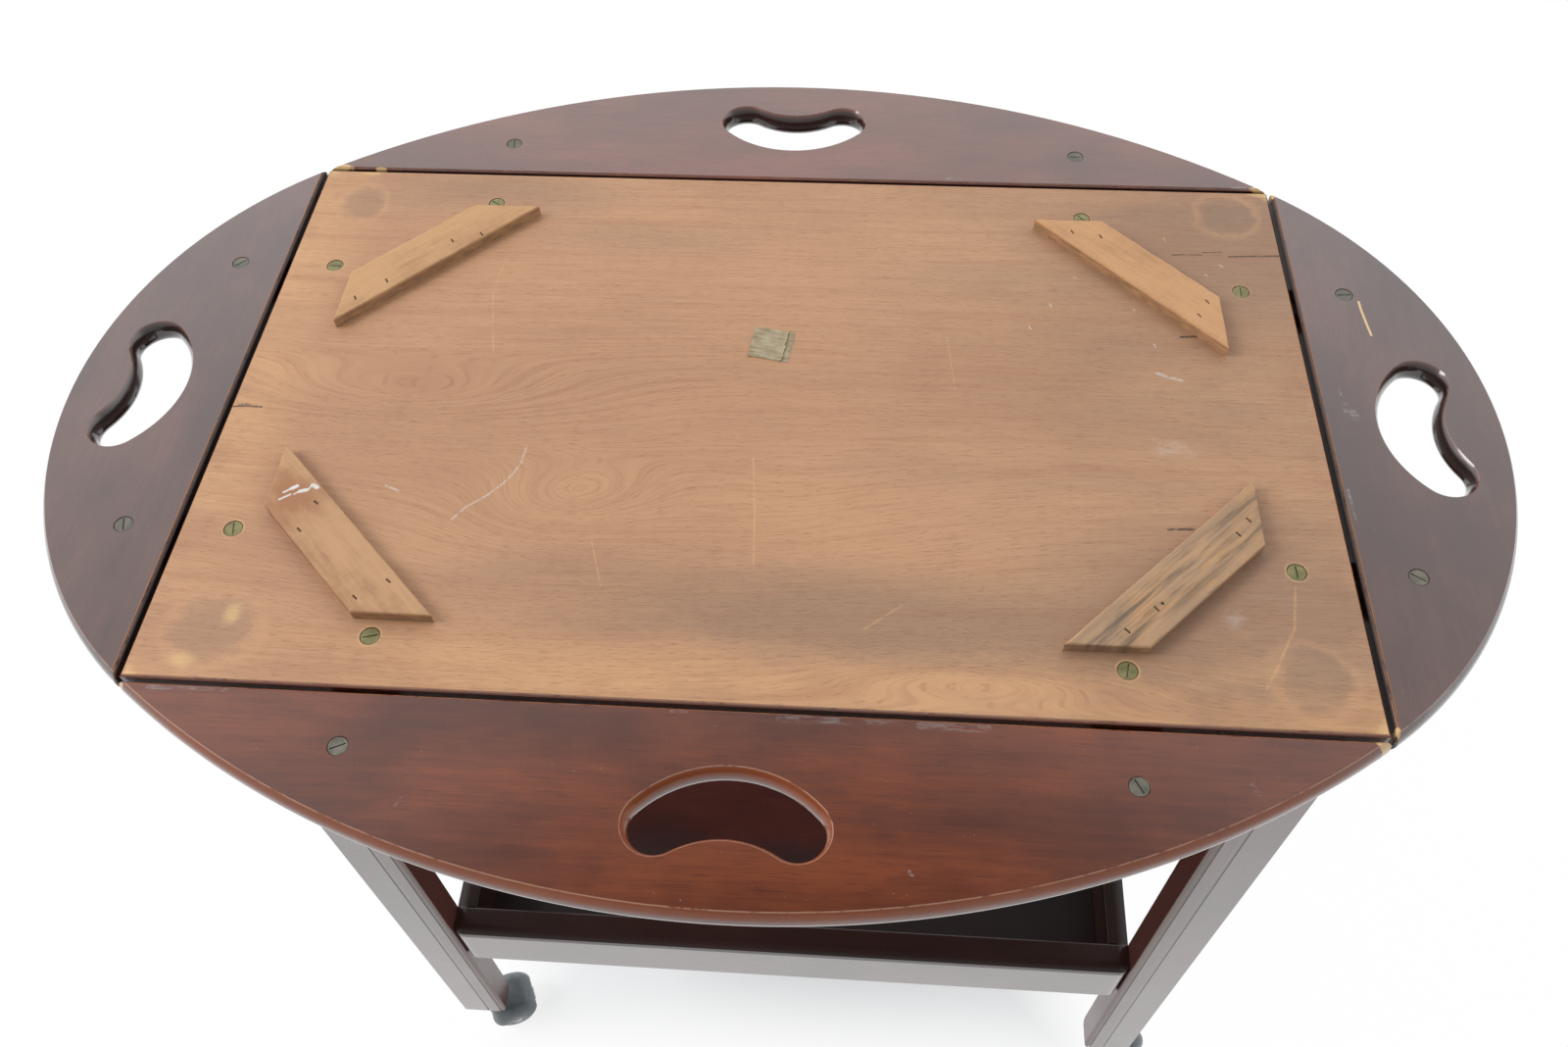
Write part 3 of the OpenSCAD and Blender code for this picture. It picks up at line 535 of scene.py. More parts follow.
        # Partly wear and partly a painted highlight: a pale warm line along the rims' upper arris, strongest
        # on the front flap.
        line = z.rise(UNDERSIDE - 1.0 * MM, UNDERSIDE - 0.5 * MM)
        line = line * z.fall(UNDERSIDE - 0.10 * MM, UNDERSIDE - 0.03 * MM)
        line = line * (0.20 + y.fall(-260.0 * MM, -160.0 * MM) * 0.50)
        colour = graph.mix(line * fray.rise(0.30, 0.50), colour, self.thin)
        for row in self.chips:
            chip = graph.spot(*row) + (fray - 0.5) * 1.3
            colour = graph.mix(chip.fall(0.7, 0.95) * 0.85, colour, self.raw)
        ragged = graph.noise(x * 70.0, y * 260.0, 3.0, 5.0, 0.7).rise(0.40, 0.70)
        for row in self.scuffs:
            colour = graph.mix(graph.trail(*row) * ragged * 0.40, colour, self.dust)
        return graph.mix(graph.trail(*self.scratch) * fray.rise(0.25, 0.42), colour, self.raw)


@dataclass(frozen=True)
class StandLacquer(Lacquer):
    """The stand's lacquer, darker than the tray's and with more gloss."""

    name: str = "dark_lacquer"
    deep: Colour = (0.045, 0.013, 0.009)
    warm: Colour = (0.105, 0.030, 0.019)
    coat_roughness: float = 0.20
    coat_ior: float = 2.3
    streaks: float = 0.20


@dataclass(frozen=True)
class RailLacquer(StandLacquer):
    """The shelf rails' lacquer, with painted shade: darker and duller from the start of their moulding up."""

    name: str = "rail_lacquer"
    moulding: float = 283.0 * MM
    shade: Colour = (0.019, 0.011, 0.010)

    def shaded(self, graph: Graph, colour: Signal) -> tuple[Signal, Signal | float]:
        """The colour and the coat's share, both less on the moulding as painted shade.

        Args:
            graph: the material's graph.
            colour: the stain without it.

        Returns:
            The stain darkened by painted shade, and the coat's share.
        """
        _, _, z = graph.place()
        # Painted shade: the moulding under the tray is darker and duller.
        upper = z.rise(self.moulding, self.moulding + 1.5 * MM)
        return graph.mix(upper * 0.75, colour, self.shade), 1.0 - upper * 0.80


@dataclass(frozen=True)
class ShelfLacquer(Lacquer):
    """The shelf floor's lacquer: very dark and dull, in part painted shade under the tray; greyer by the
    front rail.
    """

    name: str = "shelf_lacquer"
    # Darker than the stand's lacquer: partly painted shade under the tray.
    deep: Colour = (0.030, 0.006, 0.004)
    warm: Colour = (0.076, 0.014, 0.009)
    # The grey that the floor turns to towards the front rail.
    dusty: Colour = (0.024, 0.020, 0.021)
    roughness: float = 0.45
    coat: float = 0.30
    streaks: float = 0.20
    grey_near: float = -142.0 * MM
    grey_far: float = -82.0 * MM

    def shaded(self, graph: Graph, colour: Signal) -> tuple[Signal, Signal | float]:
        """The colour, greyer towards the front, and the whole coat."""
        _, y, _ = graph.place()
        return graph.mix(y.fall(self.grey_near, self.grey_far) * 0.85, colour, self.dusty), 1.0


@dataclass(frozen=True)
class LegLacquer(StandLacquer):
    """The legs' lacquer, with painted shade: duller and browner from the bead to the inner arris and on the
    inner side.
    """

    name: str = "leg_lacquer_painted_shade"
    middle: float = 17.0 * MM
    inner: float = 286.0 * MM
    strip: float = 5.5 * MM
    bead: float = 15.5 * MM
    blur: float = 0.6 * MM
    # Painted shade: the colours of the bead and strip (brown) and of the inner side.
    brown: Colour = (0.110, 0.050, 0.034)
    side: Colour = (0.108, 0.037, 0.029)

    def shaded(self, graph: Graph, colour: Signal) -> tuple[Signal, Signal | float]:
        """The colour and the coat's share by the distance from the leg's inner side.

        Args:
            graph: the material's graph.
            colour: the stain without it.

        Returns:
            The stain with painted shade, browner on the bead and more so on the strip between it and the
            inner arris, and red-brown on the inner side, and the coat's share, less on both.
        """
        x, _, _ = graph.place()
        # Painted shade: the bead, the strip and the inner side are browner and duller, for the dimmer
        # reflection on those faces.
        apart = abs(x - self.middle) - self.inner
        bead = apart.fall(self.bead - self.blur, self.bead + self.blur)
        strip = apart.fall(self.strip - self.blur, self.strip + self.blur)
        colour = graph.mix(strip * 0.6, graph.mix(bead * 0.25, colour, self.brown), self.brown)
        colour = graph.mix(apart.fall(0.1 * MM, 0.3 * MM), colour, self.side)
        return colour, 1.0 - bead * 0.22 - strip * 0.40


@dataclass(frozen=True)
class BareBoard(Finish):
    """The tray's bare underside: pale board with cathedral figure, stained, scratched and rubbed.

    A row of swirls, stains or rubs is one Graph.spot, and one of cracks, chalks or scores is one Graph.trail.
    A row of soils has its share first, and a row of smears its share and how far it fades, in its own radii.
    """

    name: str = "bare_board"
    pale: Colour = (0.600, 0.325, 0.172)
    tan: Colour = (0.440, 0.224, 0.120)
    rust: Colour = (0.290, 0.112, 0.060)
    honey: Colour = (0.700, 0.385, 0.180)
    ash: Colour = (0.255, 0.160, 0.110)
    raw: Colour = (0.750, 0.470, 0.210)
    soot_and_shade: Colour = (0.060, 0.030, 0.020)
    chalk: Colour = (0.720, 0.660, 0.600)
    half: Point = (355.0 * MM, 222.0 * MM)
    figure: Figure = Figure(band=0.011, stretch=0.50, fibre=0.0010, wander=0.020)
    swirls: Rows = (
        (-243.0, -6.0, 130.0, 32.0), (-60.0, -120.0, 200.0, 60.0, 8.0), (-120.0, -82.0, 50.0, 26.0, 10.0),
        (130.0, -197.0, 110.0, 17.0))
    pushes: tuple[float, ...] = (46.0, 40.0, 30.0, -26.0)
    soiled: tuple[float, ...] = (20.0, -160.0, 260.0, 45.0, -3.0)
    soils: Rows = (
        (0.7, 300.0, 170.0, 100.0, 80.0), (0.7, 280.0, -160.0, 140.0, 90.0),
        (0.8, -220.0, 200.0, 120.0, 30.0), (0.5, -100.0, 155.0, 100.0, 20.0),
        (0.4, 160.0, 120.0, 100.0, 25.0), (0.3, 120.0, -50.0, 120.0, 20.0))
    stains: Rows = (
        (-318.0, 185.0, 20.0, 21.0), (322.5, 196.0, 24.0, 24.0), (-311.0, -188.0, 30.0, 26.0),
        (320.0, -190.0, 25.0, 24.0))
    rubs: Rows = (
        (-302.0, -178.0, 7.0, 9.0), (-325.0, -210.0, 12.0, 7.0), (-350.0, 221.5, 10.0, 3.0),
        (-320.0, 219.0, 8.0, 2.0), (346.0, 219.5, 10.0, 3.0))
    cracks: Rows = (
        (1.0, 278.0, 152.2, 287.0, 152.8, 299.0, 153.0), (1.5, 318.2, 151.8, 330.0, 152.7, 353.7, 154.0),
        (0.8, 300.0, 155.5, 313.0, 156.2), (1.8, 275.5, 71.6, 287.0, 72.6),
        (1.5, -354.0, -19.0, -344.0, -18.2, -334.0, -18.6), (2.0, -350.0, -17.5, -343.0, -17.2),
        (1.9, 250.0, -89.5, 265.0, -88.8))
    seats: tuple[Point, ...] = ((217.0 * MM, 188.5 * MM), (321.5 * MM, 117.0 * MM))
    seat: float = 6.6 * MM
    chalks: Rows = (
        (1.3, -187.5, -103.5, -181.0, -94.0, -170.2, -85.0, -161.0, -74.5, -156.0, -66.1, -152.5, -57.0,
         -151.5, -44.8),
        (1.6, -235.5, -79.0, -226.0, -83.2), (2.4, 256.3, 37.5, 264.0, 34.3, 271.7, 32.0),
        (1.4, 274.0, 169.0, 274.8, 166.5), (1.4, 310.5, 143.0, 312.2, 141.2),
        (1.4, 299.0, 133.0, 300.4, 131.8), (1.2, 189.0, 99.5, 190.0, 97.0), (1.2, 207.5, 126.8, 209.0, 125.5),
        (1.2, 174.0, 77.5, 175.0, 75.0), (1.2, 246.0, 96.5, 247.2, 95.0), (1.2, 256.5, 64.0, 257.7, 61.5))
    scores: Rows = (
        (1.2, -5.1, -46.7, -1.0, -88.0, 1.7, -131.1),
        (1.6, 318.7, -128.6, 314.0, -156.0, 299.0, -185.0, 291.0, -197.9),
        (1.1, -201.2, 94.6, -189.6, 38.1), (0.9, -199.0, 125.0, -200.8, 102.0),
        (0.9, 118.0, 65.0, 123.0, 18.0), (1.0, -98.0, -116.0, -88.0, -147.0),
        (1.0, 68.0, -170.0, 90.0, -152.0))
    smears: Rows = ((0.30, 1.3, 263.8, -24.9, 20.0, 11.0), (0.35, 1.2, 280.7, -151.0, 9.0, 8.0))

    def shader(self, graph: Graph, grain: Grain) -> Signal:
        """Bare wood on the underside, and the lacquer of the flaps on the edges and the show face.

        The figure bends round each swirl, because the place across the grain is pushed aside by the swirl's
        push times exp(-r^2), where r is how far the place is from its middle in its own radii.

        Args:
            graph: the material's graph.
            grain: the way the grain runs.

        Returns:
            The shader.
        """
        x, y, z = graph.place()
        along, across, _ = self.figure.line(graph, grain)
        swirls = [graph.spot(*row) for row in self.swirls]
        for away, push in zip(swirls, self.pushes):
            across = across + (away * away * -1.0).exp() * (push * MM)
        bands = self.figure.bands(graph, along, across, 0.0)
        fibres = self.figure.fibres(graph, along, across, 0.0)
        pores = self.figure.pores(graph, along, across, 0.0)
        clouds = graph.noise(x * 3.4, y * 6.5, 0.3, 4.0, 0.6)
        colour = self.toned(graph, clouds * 1.1 + bands * 0.45 - 0.28)
        colour = graph.mix(bands.rise(0.46, 0.66) * 0.21, colour, self.rust)
        rings = graph.noise(along * 1.4, across / 0.0042, 3.0, 2.0, 0.55)
        lined = graph.noise(x * 5.0, y * 9.0, 11.0, 2.0).rise(0.35, 0.70) * 0.15
        lined = lined + swirls[0].fall(0.8, 1.6) * 0.12
        colour = graph.mix(rings.rise(0.50, 0.60) * lined, colour, self.rust)
        colour = graph.mix(fibres.rise(0.42, 0.72) * 0.24 + pores * 0.22, colour, self.rust)
        colour, chalky = self.scratched(graph, self.stained(graph, colour))
        roughness = 0.62 + (fibres - 0.5) * 0.2 + chalky * 0.15
        normal = graph.bump(bands * 0.25 + fibres * 0.35 - pores * 0.5 + clouds * 0.2, 0.22 * MM)
        bare = principled(graph, self.edged(graph, colour), roughness, normal)
        lacquer = Lacquer().shader(graph, grain)
        under = z.rise(UNDERSIDE - 0.4 * MM, UNDERSIDE - 0.1 * MM)
        return graph.node("ShaderNodeMixShader", sockets={0: under, 1: lacquer, 2: bare})

    def toned(self, graph: Graph, tone: Signal) -> Signal:
        """The board's own colour, with soiled areas.

        Args:
            graph: the material's graph.
            tone: its lightness, from about 0 to 1.

        Returns:
            Tan to pale by the tone, greyer towards the right and the back and in soiled patches, and warmer
            along its front and left edges.
        """
        x, y, _ = graph.place()
        haze = graph.noise(x * 4.0, y * 11.0, 7.0, 5.0, 0.66)
        # Greyer towards the right and the back, and in soiled patches.
        soiled = (x + y * 0.25).rise(0.02, 0.34) * 0.75 + graph.spot(*self.soiled).fall(0.3, 1.1)
        for share, *row in self.soils:
            soiled = soiled + graph.spot(*row).fall(0.1, 1.2) * share
        soiled = (soiled * (0.25 + haze.rise(0.34, 0.60) * 0.75)).least(1.0)
        colour = graph.mix(soiled * 0.58, graph.mix(tone.rise(0.05, 0.85), self.tan, self.pale), self.ash)
        warmed = (y.fall(-0.210, -0.170) + x.fall(-0.345, -0.290)).least(1.0) * haze.fall(0.40, 0.62)
        return graph.mix(warmed * 0.55, colour, self.honey)

    def stained(self, graph: Graph, colour: Signal) -> Signal:
        """Lays what use has left in the wood's surface.

        Args:
            graph: the material's graph.
            colour: the wood without it.

        Returns:
            The colour with a round stain in each corner, rubbed patches, sooty cracks, and a pale ring round
            each nut, partly raw wood and partly a painted highlight on the counterbore's edge: a circle of
            the seat's radius about a place that is mirrored into all four quarters.
        """
        x, y, _ = graph.place()
        fray = self.fray(graph)
        for row in self.stains:
            ring = graph.spot(*row) + (fray - 0.5) * 0.9
            colour = graph.mix(ring.fall(0.55, 1.0) * 0.34, colour, self.ash)
            colour = graph.mix(ring.rise(0.74, 0.98) * ring.fall(0.98, 1.22) * fray * 0.62, colour, self.pale)
        for row in self.rubs:
            patch = graph.spot(*row) + (fray - 0.5) * 1.6
            colour = graph.mix(patch.fall(0.2, 1.2) * 0.60, colour, self.raw)
        broken = graph.noise(x * 330.0, y * 330.0, 9.0, 2.0, 0.6).rise(0.34, 0.50)
        colour = graph.mix(graph.trails(self.cracks) * (0.30 + broken * 0.55), colour, self.soot_and_shade)
        # Partly raw wood and partly a painted highlight: a pale ring round each nut's counterbore.
        for seat_x, seat_y in self.seats:
            u, v = (abs(x) - seat_x) / self.seat, (abs(y) - seat_y) / self.seat
            ring = ((u * u + v * v).root() + (fray - 0.5) * 0.45 + y * 0.3).fall(1.00, 1.14)
            colour = graph.mix(ring * (0.12 + fray.rise(0.45, 0.60) * 0.35), colour, self.raw)
        return colour

    def scratched(self, graph: Graph, colour: Signal) -> tuple[Signal, Signal]:
        """Lays scratches and smears on the wood.

        Args:
            graph: the material's graph.
            colour: the wood without them.

        Returns:
            The colour with chalky scratches, scored lines and pale smears, and where the chalky ones lie.
        """
        x, y, _ = graph.place()
        worn = graph.noise(x * 260.0, y * 260.0, 1.0, 2.0).rise(0.30, 0.52)
        chalky = graph.trails(self.chalks) * worn
        colour = graph.mix(chalky * 0.42, colour, self.chalk)
        colour = graph.mix(graph.trails(self.scores) * worn * 0.38, colour, self.honey)
        smears = [graph.spot(*row).fall(0.2, far) * share for share, far, *row in self.smears]
        smeared = (smears[0] + smears[1]) * self.fray(graph).rise(0.42, 0.70)
        return graph.mix(smeared, colour, self.chalk), chalky

    def edged(self, graph: Graph, colour: Signal) -> Signal:
        """Lays wear on the board's edges.

        Args:
            graph: the material's graph.
            colour: the wood without it.

        Returns:
            The colour with grime along the edges and raw chips at the four corners.
        """
        x, y, _ = graph.place()
        beside, behind = self.half[0] - abs(x), self.half[1] - abs(y)
        edge = beside.least(behind)
        patchy = graph.noise(x * 14.0, y * 14.0, 2.0, 4.0, 0.6).rise(0.45, 0.75)
        grime = edge.fall(1.0 * MM, 30.0 * MM) * patchy
        colour = graph.mix(grime * 0.30 + edge.fall(0.6 * MM, 2.0 * MM) * 0.55, colour, self.rust)
        chipped = (beside + behind).fall(4.0 * MM, 16.0 * MM)
        chipped = chipped * graph.noise(x * 120.0, y * 120.0, 0.0, 3.0).rise(0.40, 0.50)
        return graph.mix(chipped * 0.85, colour, self.raw)

    def fray(self, graph: Graph) -> Signal:
        """Unevenness from 0 to 1 that breaks up the outlines of marks."""
        x, y, _ = graph.place()
        return graph.noise(x * 45.0, y * 45.0, 5.0, 4.0, 0.65)


@dataclass(frozen=True)
class SawnWood(Finish):
    """Bare sawn softwood of the cleats: even tan with soft brown blotches, and browner rough sides."""

    name: str = "sawn_wood"
    pale: Colour = (0.590, 0.325, 0.155)
    brown: Colour = (0.380, 0.195, 0.088)
    side: Colour = (0.190, 0.110, 0.060)
    grey: Colour = (0.300, 0.215, 0.160)
    # Dirt and painted shade: the dark colour of the staple slits.
    soot_and_shade: Colour = (0.030, 0.018, 0.012)
    figure: Figure = Figure(band=0.0034, stretch=0.05, fibre=0.0006, wander=0.004)

    def shader(self, graph: Graph, grain: Grain) -> Signal:
        """Pale wood with fine grain, blotches, rough sides, and slits darkened by sooty dirt and painted
        shade.

        Args:
            graph: the material's graph.
            grain: the way the grain runs.

        Returns:
            The shader.
        """
        along, across, through = self.figure.line(graph, grain)
        bands = self.figure.bands(graph, along, across, through)
        fibres = self.figure.fibres(graph, along, across, through)
        _, _, z = graph.place()
        blotches = graph.noise(along * 20.0, across * 42.0, through * 42.0, 4.0, 0.62)
        saw = graph.noise(along * 420.0, across * 30.0, through * 30.0, 1.0)
        share = blotches * 0.70 + bands * 0.30 + (fibres - 0.5) * 0.30 + (saw - 0.5) * 0.10
        colour = graph.mix(share.rise(0.38, 0.80), self.pale, self.brown)
        colour = self.worn(graph, colour, along, across, blotches)
        rough = graph.noise(along * 120.0, across * 120.0, z * 500.0, 2.0).rise(0.30, 0.70)
        sides = z.fall(CLEAT_TOP - 2.2 * MM, CLEAT_TOP - 0.7 * MM) * (0.30 + rough * 0.40)
        colour = graph.mix(sides, colour, self.side)
        # Dirt and painted shade: the staple slits are darkened by how deep they are.
        sunk = graph.node("ShaderNodeAttribute", {"attribute_name": SUNK}, out="Fac")
        colour = graph.mix(sunk, colour, self.soot_and_shade)
        normal = graph.bump(bands * 0.25 + fibres * 0.45 + saw * 0.35, 0.30 * MM)
        return principled(graph, colour, 0.72, normal)

    def worn(self, graph: Graph, colour: Signal, along: Signal, across: Signal, blotches: Signal) -> Signal:
        """Lays one cleat's own marks on the wood; a plain cleat has none.

        Args:
            graph: the material's graph.
            colour: the wood without them.
            along, across: the coordinates along and across the grain.
            blotches: soft unevenness from 0 to 1.

        Returns:
            The colour with them.
        """
        return colour


@dataclass(frozen=True)
class SmearedWood(SawnWood):
    """The front left cleat: red-brown end, grey inner edge, and marks of paint, one Graph.trail each."""

    name: str = "smeared_wood"
    pale: Colour = (0.540, 0.300, 0.150)
    brown: Colour = (0.340, 0.170, 0.082)
    red: Colour = (0.380, 0.165, 0.075)
    paint: Colour = (0.760, 0.730, 0.700)
    inner: float = -242.5 * MM
    end: tuple[float, ...] = (-288.0, -98.0, 26.0, 22.0)
    tip: tuple[float, ...] = (-301.0, -66.0, 8.0, 8.0)
    marks: Rows = (
        (1.4, -294.0, -93.5, -286.9, -88.2), (2.6, -289.5, -90.2, -286.9, -88.3),
        (1.4, -295.0, -99.1, -289.2, -95.0), (2.6, -284.0, -92.3, -280.2, -91.0),
        (1.0, -287.0, -94.6, -285.1, -93.1), (1.0, -279.1, -91.3, -278.0, -87.4),
        (2.8, -277.1, -87.0, -274.0, -88.7))

    def worn(self, graph: Graph, colour: Signal, along: Signal, across: Signal, blotches: Signal) -> Signal:
        """The red end and blotches, the grey inner edge, and the paint, as in SawnWood.worn."""
        x, y, _ = graph.place()
        end = graph.spot(*self.end).fall(0.3, 1.3) * blotches.rise(0.30, 0.60)
        colour = graph.mix(end * 0.65 + blotches.rise(0.50, 0.68) * 0.35, colour, self.red)
        colour = graph.mix(graph.spot(*self.tip).fall(0.5, 1.2) * 0.6, colour, self.pale)
        fine = graph.noise(along * 40.0, across * 900.0, 0.0, 2.0)
        edge = abs(across - self.inner).fall(1.0 * MM, 11.0 * MM)
        colour = graph.mix(edge * fine.rise(0.30, 0.60) * 0.55, colour, self.grey)
        ragged = graph.noise(x * 200.0, y * 300.0, 3.0, 3.0, 0.6).rise(0.20, 0.45)
        for row in self.marks:
            colour = graph.mix(graph.trail(*row) * ragged * 0.85, colour, self.paint)
        return colour


@dataclass(frozen=True)
class SoiledWood(SawnWood):
    """The front right cleat: long grey-black streaks in its middle, and pale edges."""

    name: str = "soiled_wood"
    dirt: Colour = (0.110, 0.080, 0.058)
    middle: float = -269.5 * MM
    hole: tuple[float, ...] = (238.8, -147.8, 1.2, 1.2)

    def worn(self, graph: Graph, colour: Signal, along: Signal, across: Signal, blotches: Signal) -> Signal:
        """Streaks where across is near the cleat's middle line, and one small hole, as in SawnWood.worn."""
        inside = abs(across - self.middle).fall(8.0 * MM, 16.0 * MM)
        streaks = graph.noise(along * 16.0, across * 210.0, 5.0, 4.0, 0.6)
        patches = graph.noise(along * 24.0, across * 60.0, 1.0, 3.0)
        colour = graph.mix(patches.rise(0.30, 0.60) * 0.45, colour, self.grey)
        colour = graph.mix(inside * streaks.rise(0.42, 0.66) * 0.75, colour, self.dirt)
        return graph.mix(graph.spot(*self.hole).fall(0.7, 1.0), colour, self.soot_and_shade)


@dataclass(frozen=True)
class Joinery(Finish):
    """Bare hardwood of dowels and glue blocks."""

    name: str = "joinery_wood"
    pale: Colour = (0.620, 0.440, 0.250)
    tan: Colour = (0.450, 0.290, 0.150)
    figure: Figure = Figure(band=0.003, stretch=0.06, fibre=0.0006, wander=0.003)

    def shader(self, graph: Graph, grain: Grain) -> Signal:
        """Plain pale wood with fine grain.

        Args:
            graph: the material's graph.
            grain: the way the grain runs.

        Returns:
            The shader.
        """
        along, across, through = self.figure.line(graph, grain)
        bands = self.figure.bands(graph, along, across, through)
        fibres = self.figure.fibres(graph, along, across, through)
        colour = graph.mix((bands + fibres * 0.3 - 0.15).rise(0.3, 0.7), self.tan, self.pale)
        return principled(graph, colour, 0.6, graph.bump(bands * 0.3 + fibres * 0.4, 0.20 * MM))


@dataclass(frozen=True)
class AgedBrass(Finish):
    """Brass plate gone dull and greenish, brighter where it is rubbed."""

    name: str = "aged_brass"
    dull: Colour = (0.122, 0.110, 0.086)
    bright: Colour = (0.205, 0.182, 0.142)
    dark: Colour = (0.070, 0.062, 0.045)
    metallic: float = 0.40

    def shader(self, graph: Graph, grain: Grain) -> Signal:
        """Tarnish in soft patches over fine scratches.

        Args:
            graph: the material's graph.
            grain: not used.

        Returns:
            The shader.
        """
        x, y, z = graph.place()
        tarnish = graph.noise(x * 130.0, y * 130.0, z * 130.0, 4.0, 0.6)
        fine = graph.noise(x * 900.0, y * 300.0, z * 900.0, 2.0)
        colour = graph.mix(tarnish.rise(0.35, 0.70), self.dull, self.bright)
        colour = graph.mix(fine.rise(0.60, 0.80) * 0.5, colour, self.dark)
        roughness = 0.42 + (tarnish - 0.5) * 0.3
        normal = graph.bump(fine * 0.5 + tarnish * 0.5, 0.05 * MM)
        return principled(graph, colour, roughness, normal, metallic=self.metallic)


@dataclass(frozen=True)
class BrightSteel(Finish):
    """Plain drawn steel of pins, springs, stems, axles and staples."""

    name: str = "bright_steel"
    pale: Colour = (0.520, 0.525, 0.530)
    grey: Colour = (0.240, 0.240, 0.240)

    def shader(self, graph: Graph, grain: Grain) -> Signal:
        """Fine draw lines, a little dull in patches.

        Args:
            graph: the material's graph.
            grain: the way the grain runs.

        Returns:
            The shader.
        """
        along, across, through = grain.axes(graph)
        lines = graph.noise(along * 60.0, across * 2500.0, through * 2500.0, 2.0)
        patches = graph.noise(along * 90.0, across * 90.0, through * 90.0, 3.0)
        colour = graph.mix((lines * 0.5 + patches * 0.5).rise(0.35, 0.65), self.grey, self.pale)
        return principled(graph, colour, 0.30 + patches * 0.2, graph.bump(lines, 0.02 * MM), metallic=1.0)


@dataclass(frozen=True)
class CastorPlastic(Finish):
    """Dark grey-green moulded plastic of the castors, dusty and slightly glossy."""

    name: str = "castor_plastic"
    dark: Colour = (0.122, 0.137, 0.143)
    dusty: Colour = (0.175, 0.192, 0.196)

    def shader(self, graph: Graph, grain: Grain) -> Signal:
        """Moulding grain, and dust in patches.

        Args:
            graph: the material's graph.
            grain: not used.

        Returns:
            The shader.
        """
        x, y, z = graph.place()
        dust = graph.noise(x * 70.0, y * 70.0, z * 70.0, 4.0, 0.6)
        mould = graph.noise(x * 1500.0, y * 1500.0, z * 1500.0, 1.0)
        colour = graph.mix(dust.rise(0.40, 0.75), self.dark, self.dusty)
        return principled(graph, colour, 0.36 + dust * 0.1, graph.bump(mould, 0.01 * MM), coat=0.3,
                          coat_roughness=0.2)


@dataclass(frozen=True)
class StudioFloor(Finish):
    """Plain white floor that keeps soft shadows, and goes to plain white away from the trolley."""

    name: str = "studio_floor"
    white: Colour = (0.86, 0.87, 0.88)
    middle: Point = (0.017, -0.014)
    half: Point = (0.270, 0.190)
    under: float = 0.25
    beside: float = 0.985
    rim: float = 0.06
    far: float = 1.60

    def shader(self, graph: Graph, grain: Grain) -> Signal:
        """Diffuse white, with a share of plain white for what the camera, gloss and glass see.

        The share is least under the stand. It grows with the distance from the stand's own rectangle, which
        is the greater of |x - middle| - half width and |y - middle| - half depth.

        Args:
            graph: the material's graph.
            grain: not used, as the floor has no grain.

        Returns:
            The shader.
        """
        diffuse = graph.node("ShaderNodeBsdfDiffuse", sockets={"Color": self.white})
        glow = graph.node("ShaderNodeEmission", sockets={"Color": (1.0, 1.0, 1.0), "Strength": 1.0})
        x, y, _ = graph.place()
        apart = (abs(x - self.middle[0]) - self.half[0]).most(abs(y - self.middle[1]) - self.half[1])
        share = self.under + apart.rise(-0.12, self.rim) * (self.beside - self.under)
        share = share + apart.rise(self.rim, self.far) * (1.0 - self.beside)
        seen = graph.node("ShaderNodeLightPath", out="Is Camera Ray")
        outputs = seen.socket.node.outputs
        for name in ("Is Glossy Ray", "Is Transmission Ray"):
            seen = seen.most(Signal(graph, outputs[name]))
        return graph.node("ShaderNodeMixShader", sockets={0: share * seen, 1: diffuse, 2: glow})


@dataclass(frozen=True)
class OldFoil(Finish):
    """Thin brassy foil, dull and greenish, creased across and paler where it is rubbed."""

    name: str = "old_foil"
    dull: Colour = (0.300, 0.215, 0.115)
    pale: Colour = (0.460, 0.375, 0.250)
    stain: Colour = (0.180, 0.125, 0.068)

    def shader(self, graph: Graph, grain: Grain) -> Signal:
        """Soft patches of tarnish, with creases that run across.

        Args:
            graph: the material's graph.
            grain: not used.

        Returns:
            The shader.
        """
        x, y, _ = graph.place()
        patches = graph.noise(x * 120.0, y * 120.0, 0.0, 4.0, 0.6)
        creases = graph.noise(x * 60.0 + y * 11.0, y * 420.0 + x * 76.0, 0.0, 3.0, 0.6)
        colour = graph.mix((patches * 0.6 + creases * 0.5).rise(0.38, 0.72), self.dull, self.pale)
        colour = graph.mix(creases.fall(0.30, 0.42) * 0.6, colour, self.stain)
        normal = graph.bump(creases * 0.7 + patches * 0.3, 0.22 * MM)
        return principled(graph, colour, 0.40 + patches * 0.25, normal, metallic=0.35)


# Pieces


def put_mesh(name: str, points: Array, faces: list[Array], material: bpy.types.Material,
             sharp: float = 40.0) -> bpy.types.Object:
    """Makes a mesh object at the origin.

    Args:
        name: the object's name.
        points: its corners, one row each.
        faces: arrays of point numbers: nets of four-sided faces, or one row for a face with many sides.
        material: its material.
        sharp: edges that turn by more than this many degrees stay sharp, the rest is smooth.

    Returns:
        The object.
    """
    mesh = bpy.data.meshes.new(name)
    rows = [row for part in faces for row in np.atleast_2d(part).tolist()]
    mesh.from_pydata(points.reshape(-1, 3).tolist(), [], rows)
    mesh.polygons.foreach_set("use_smooth", np.ones(len(mesh.polygons), bool))
    mesh.set_sharp_from_angle(angle=math.radians(sharp))
    mesh.materials.append(material)
    mesh.update()
    made = bpy.data.objects.new(name, mesh)
    bpy.context.scene.collection.objects.link(made)
    return made


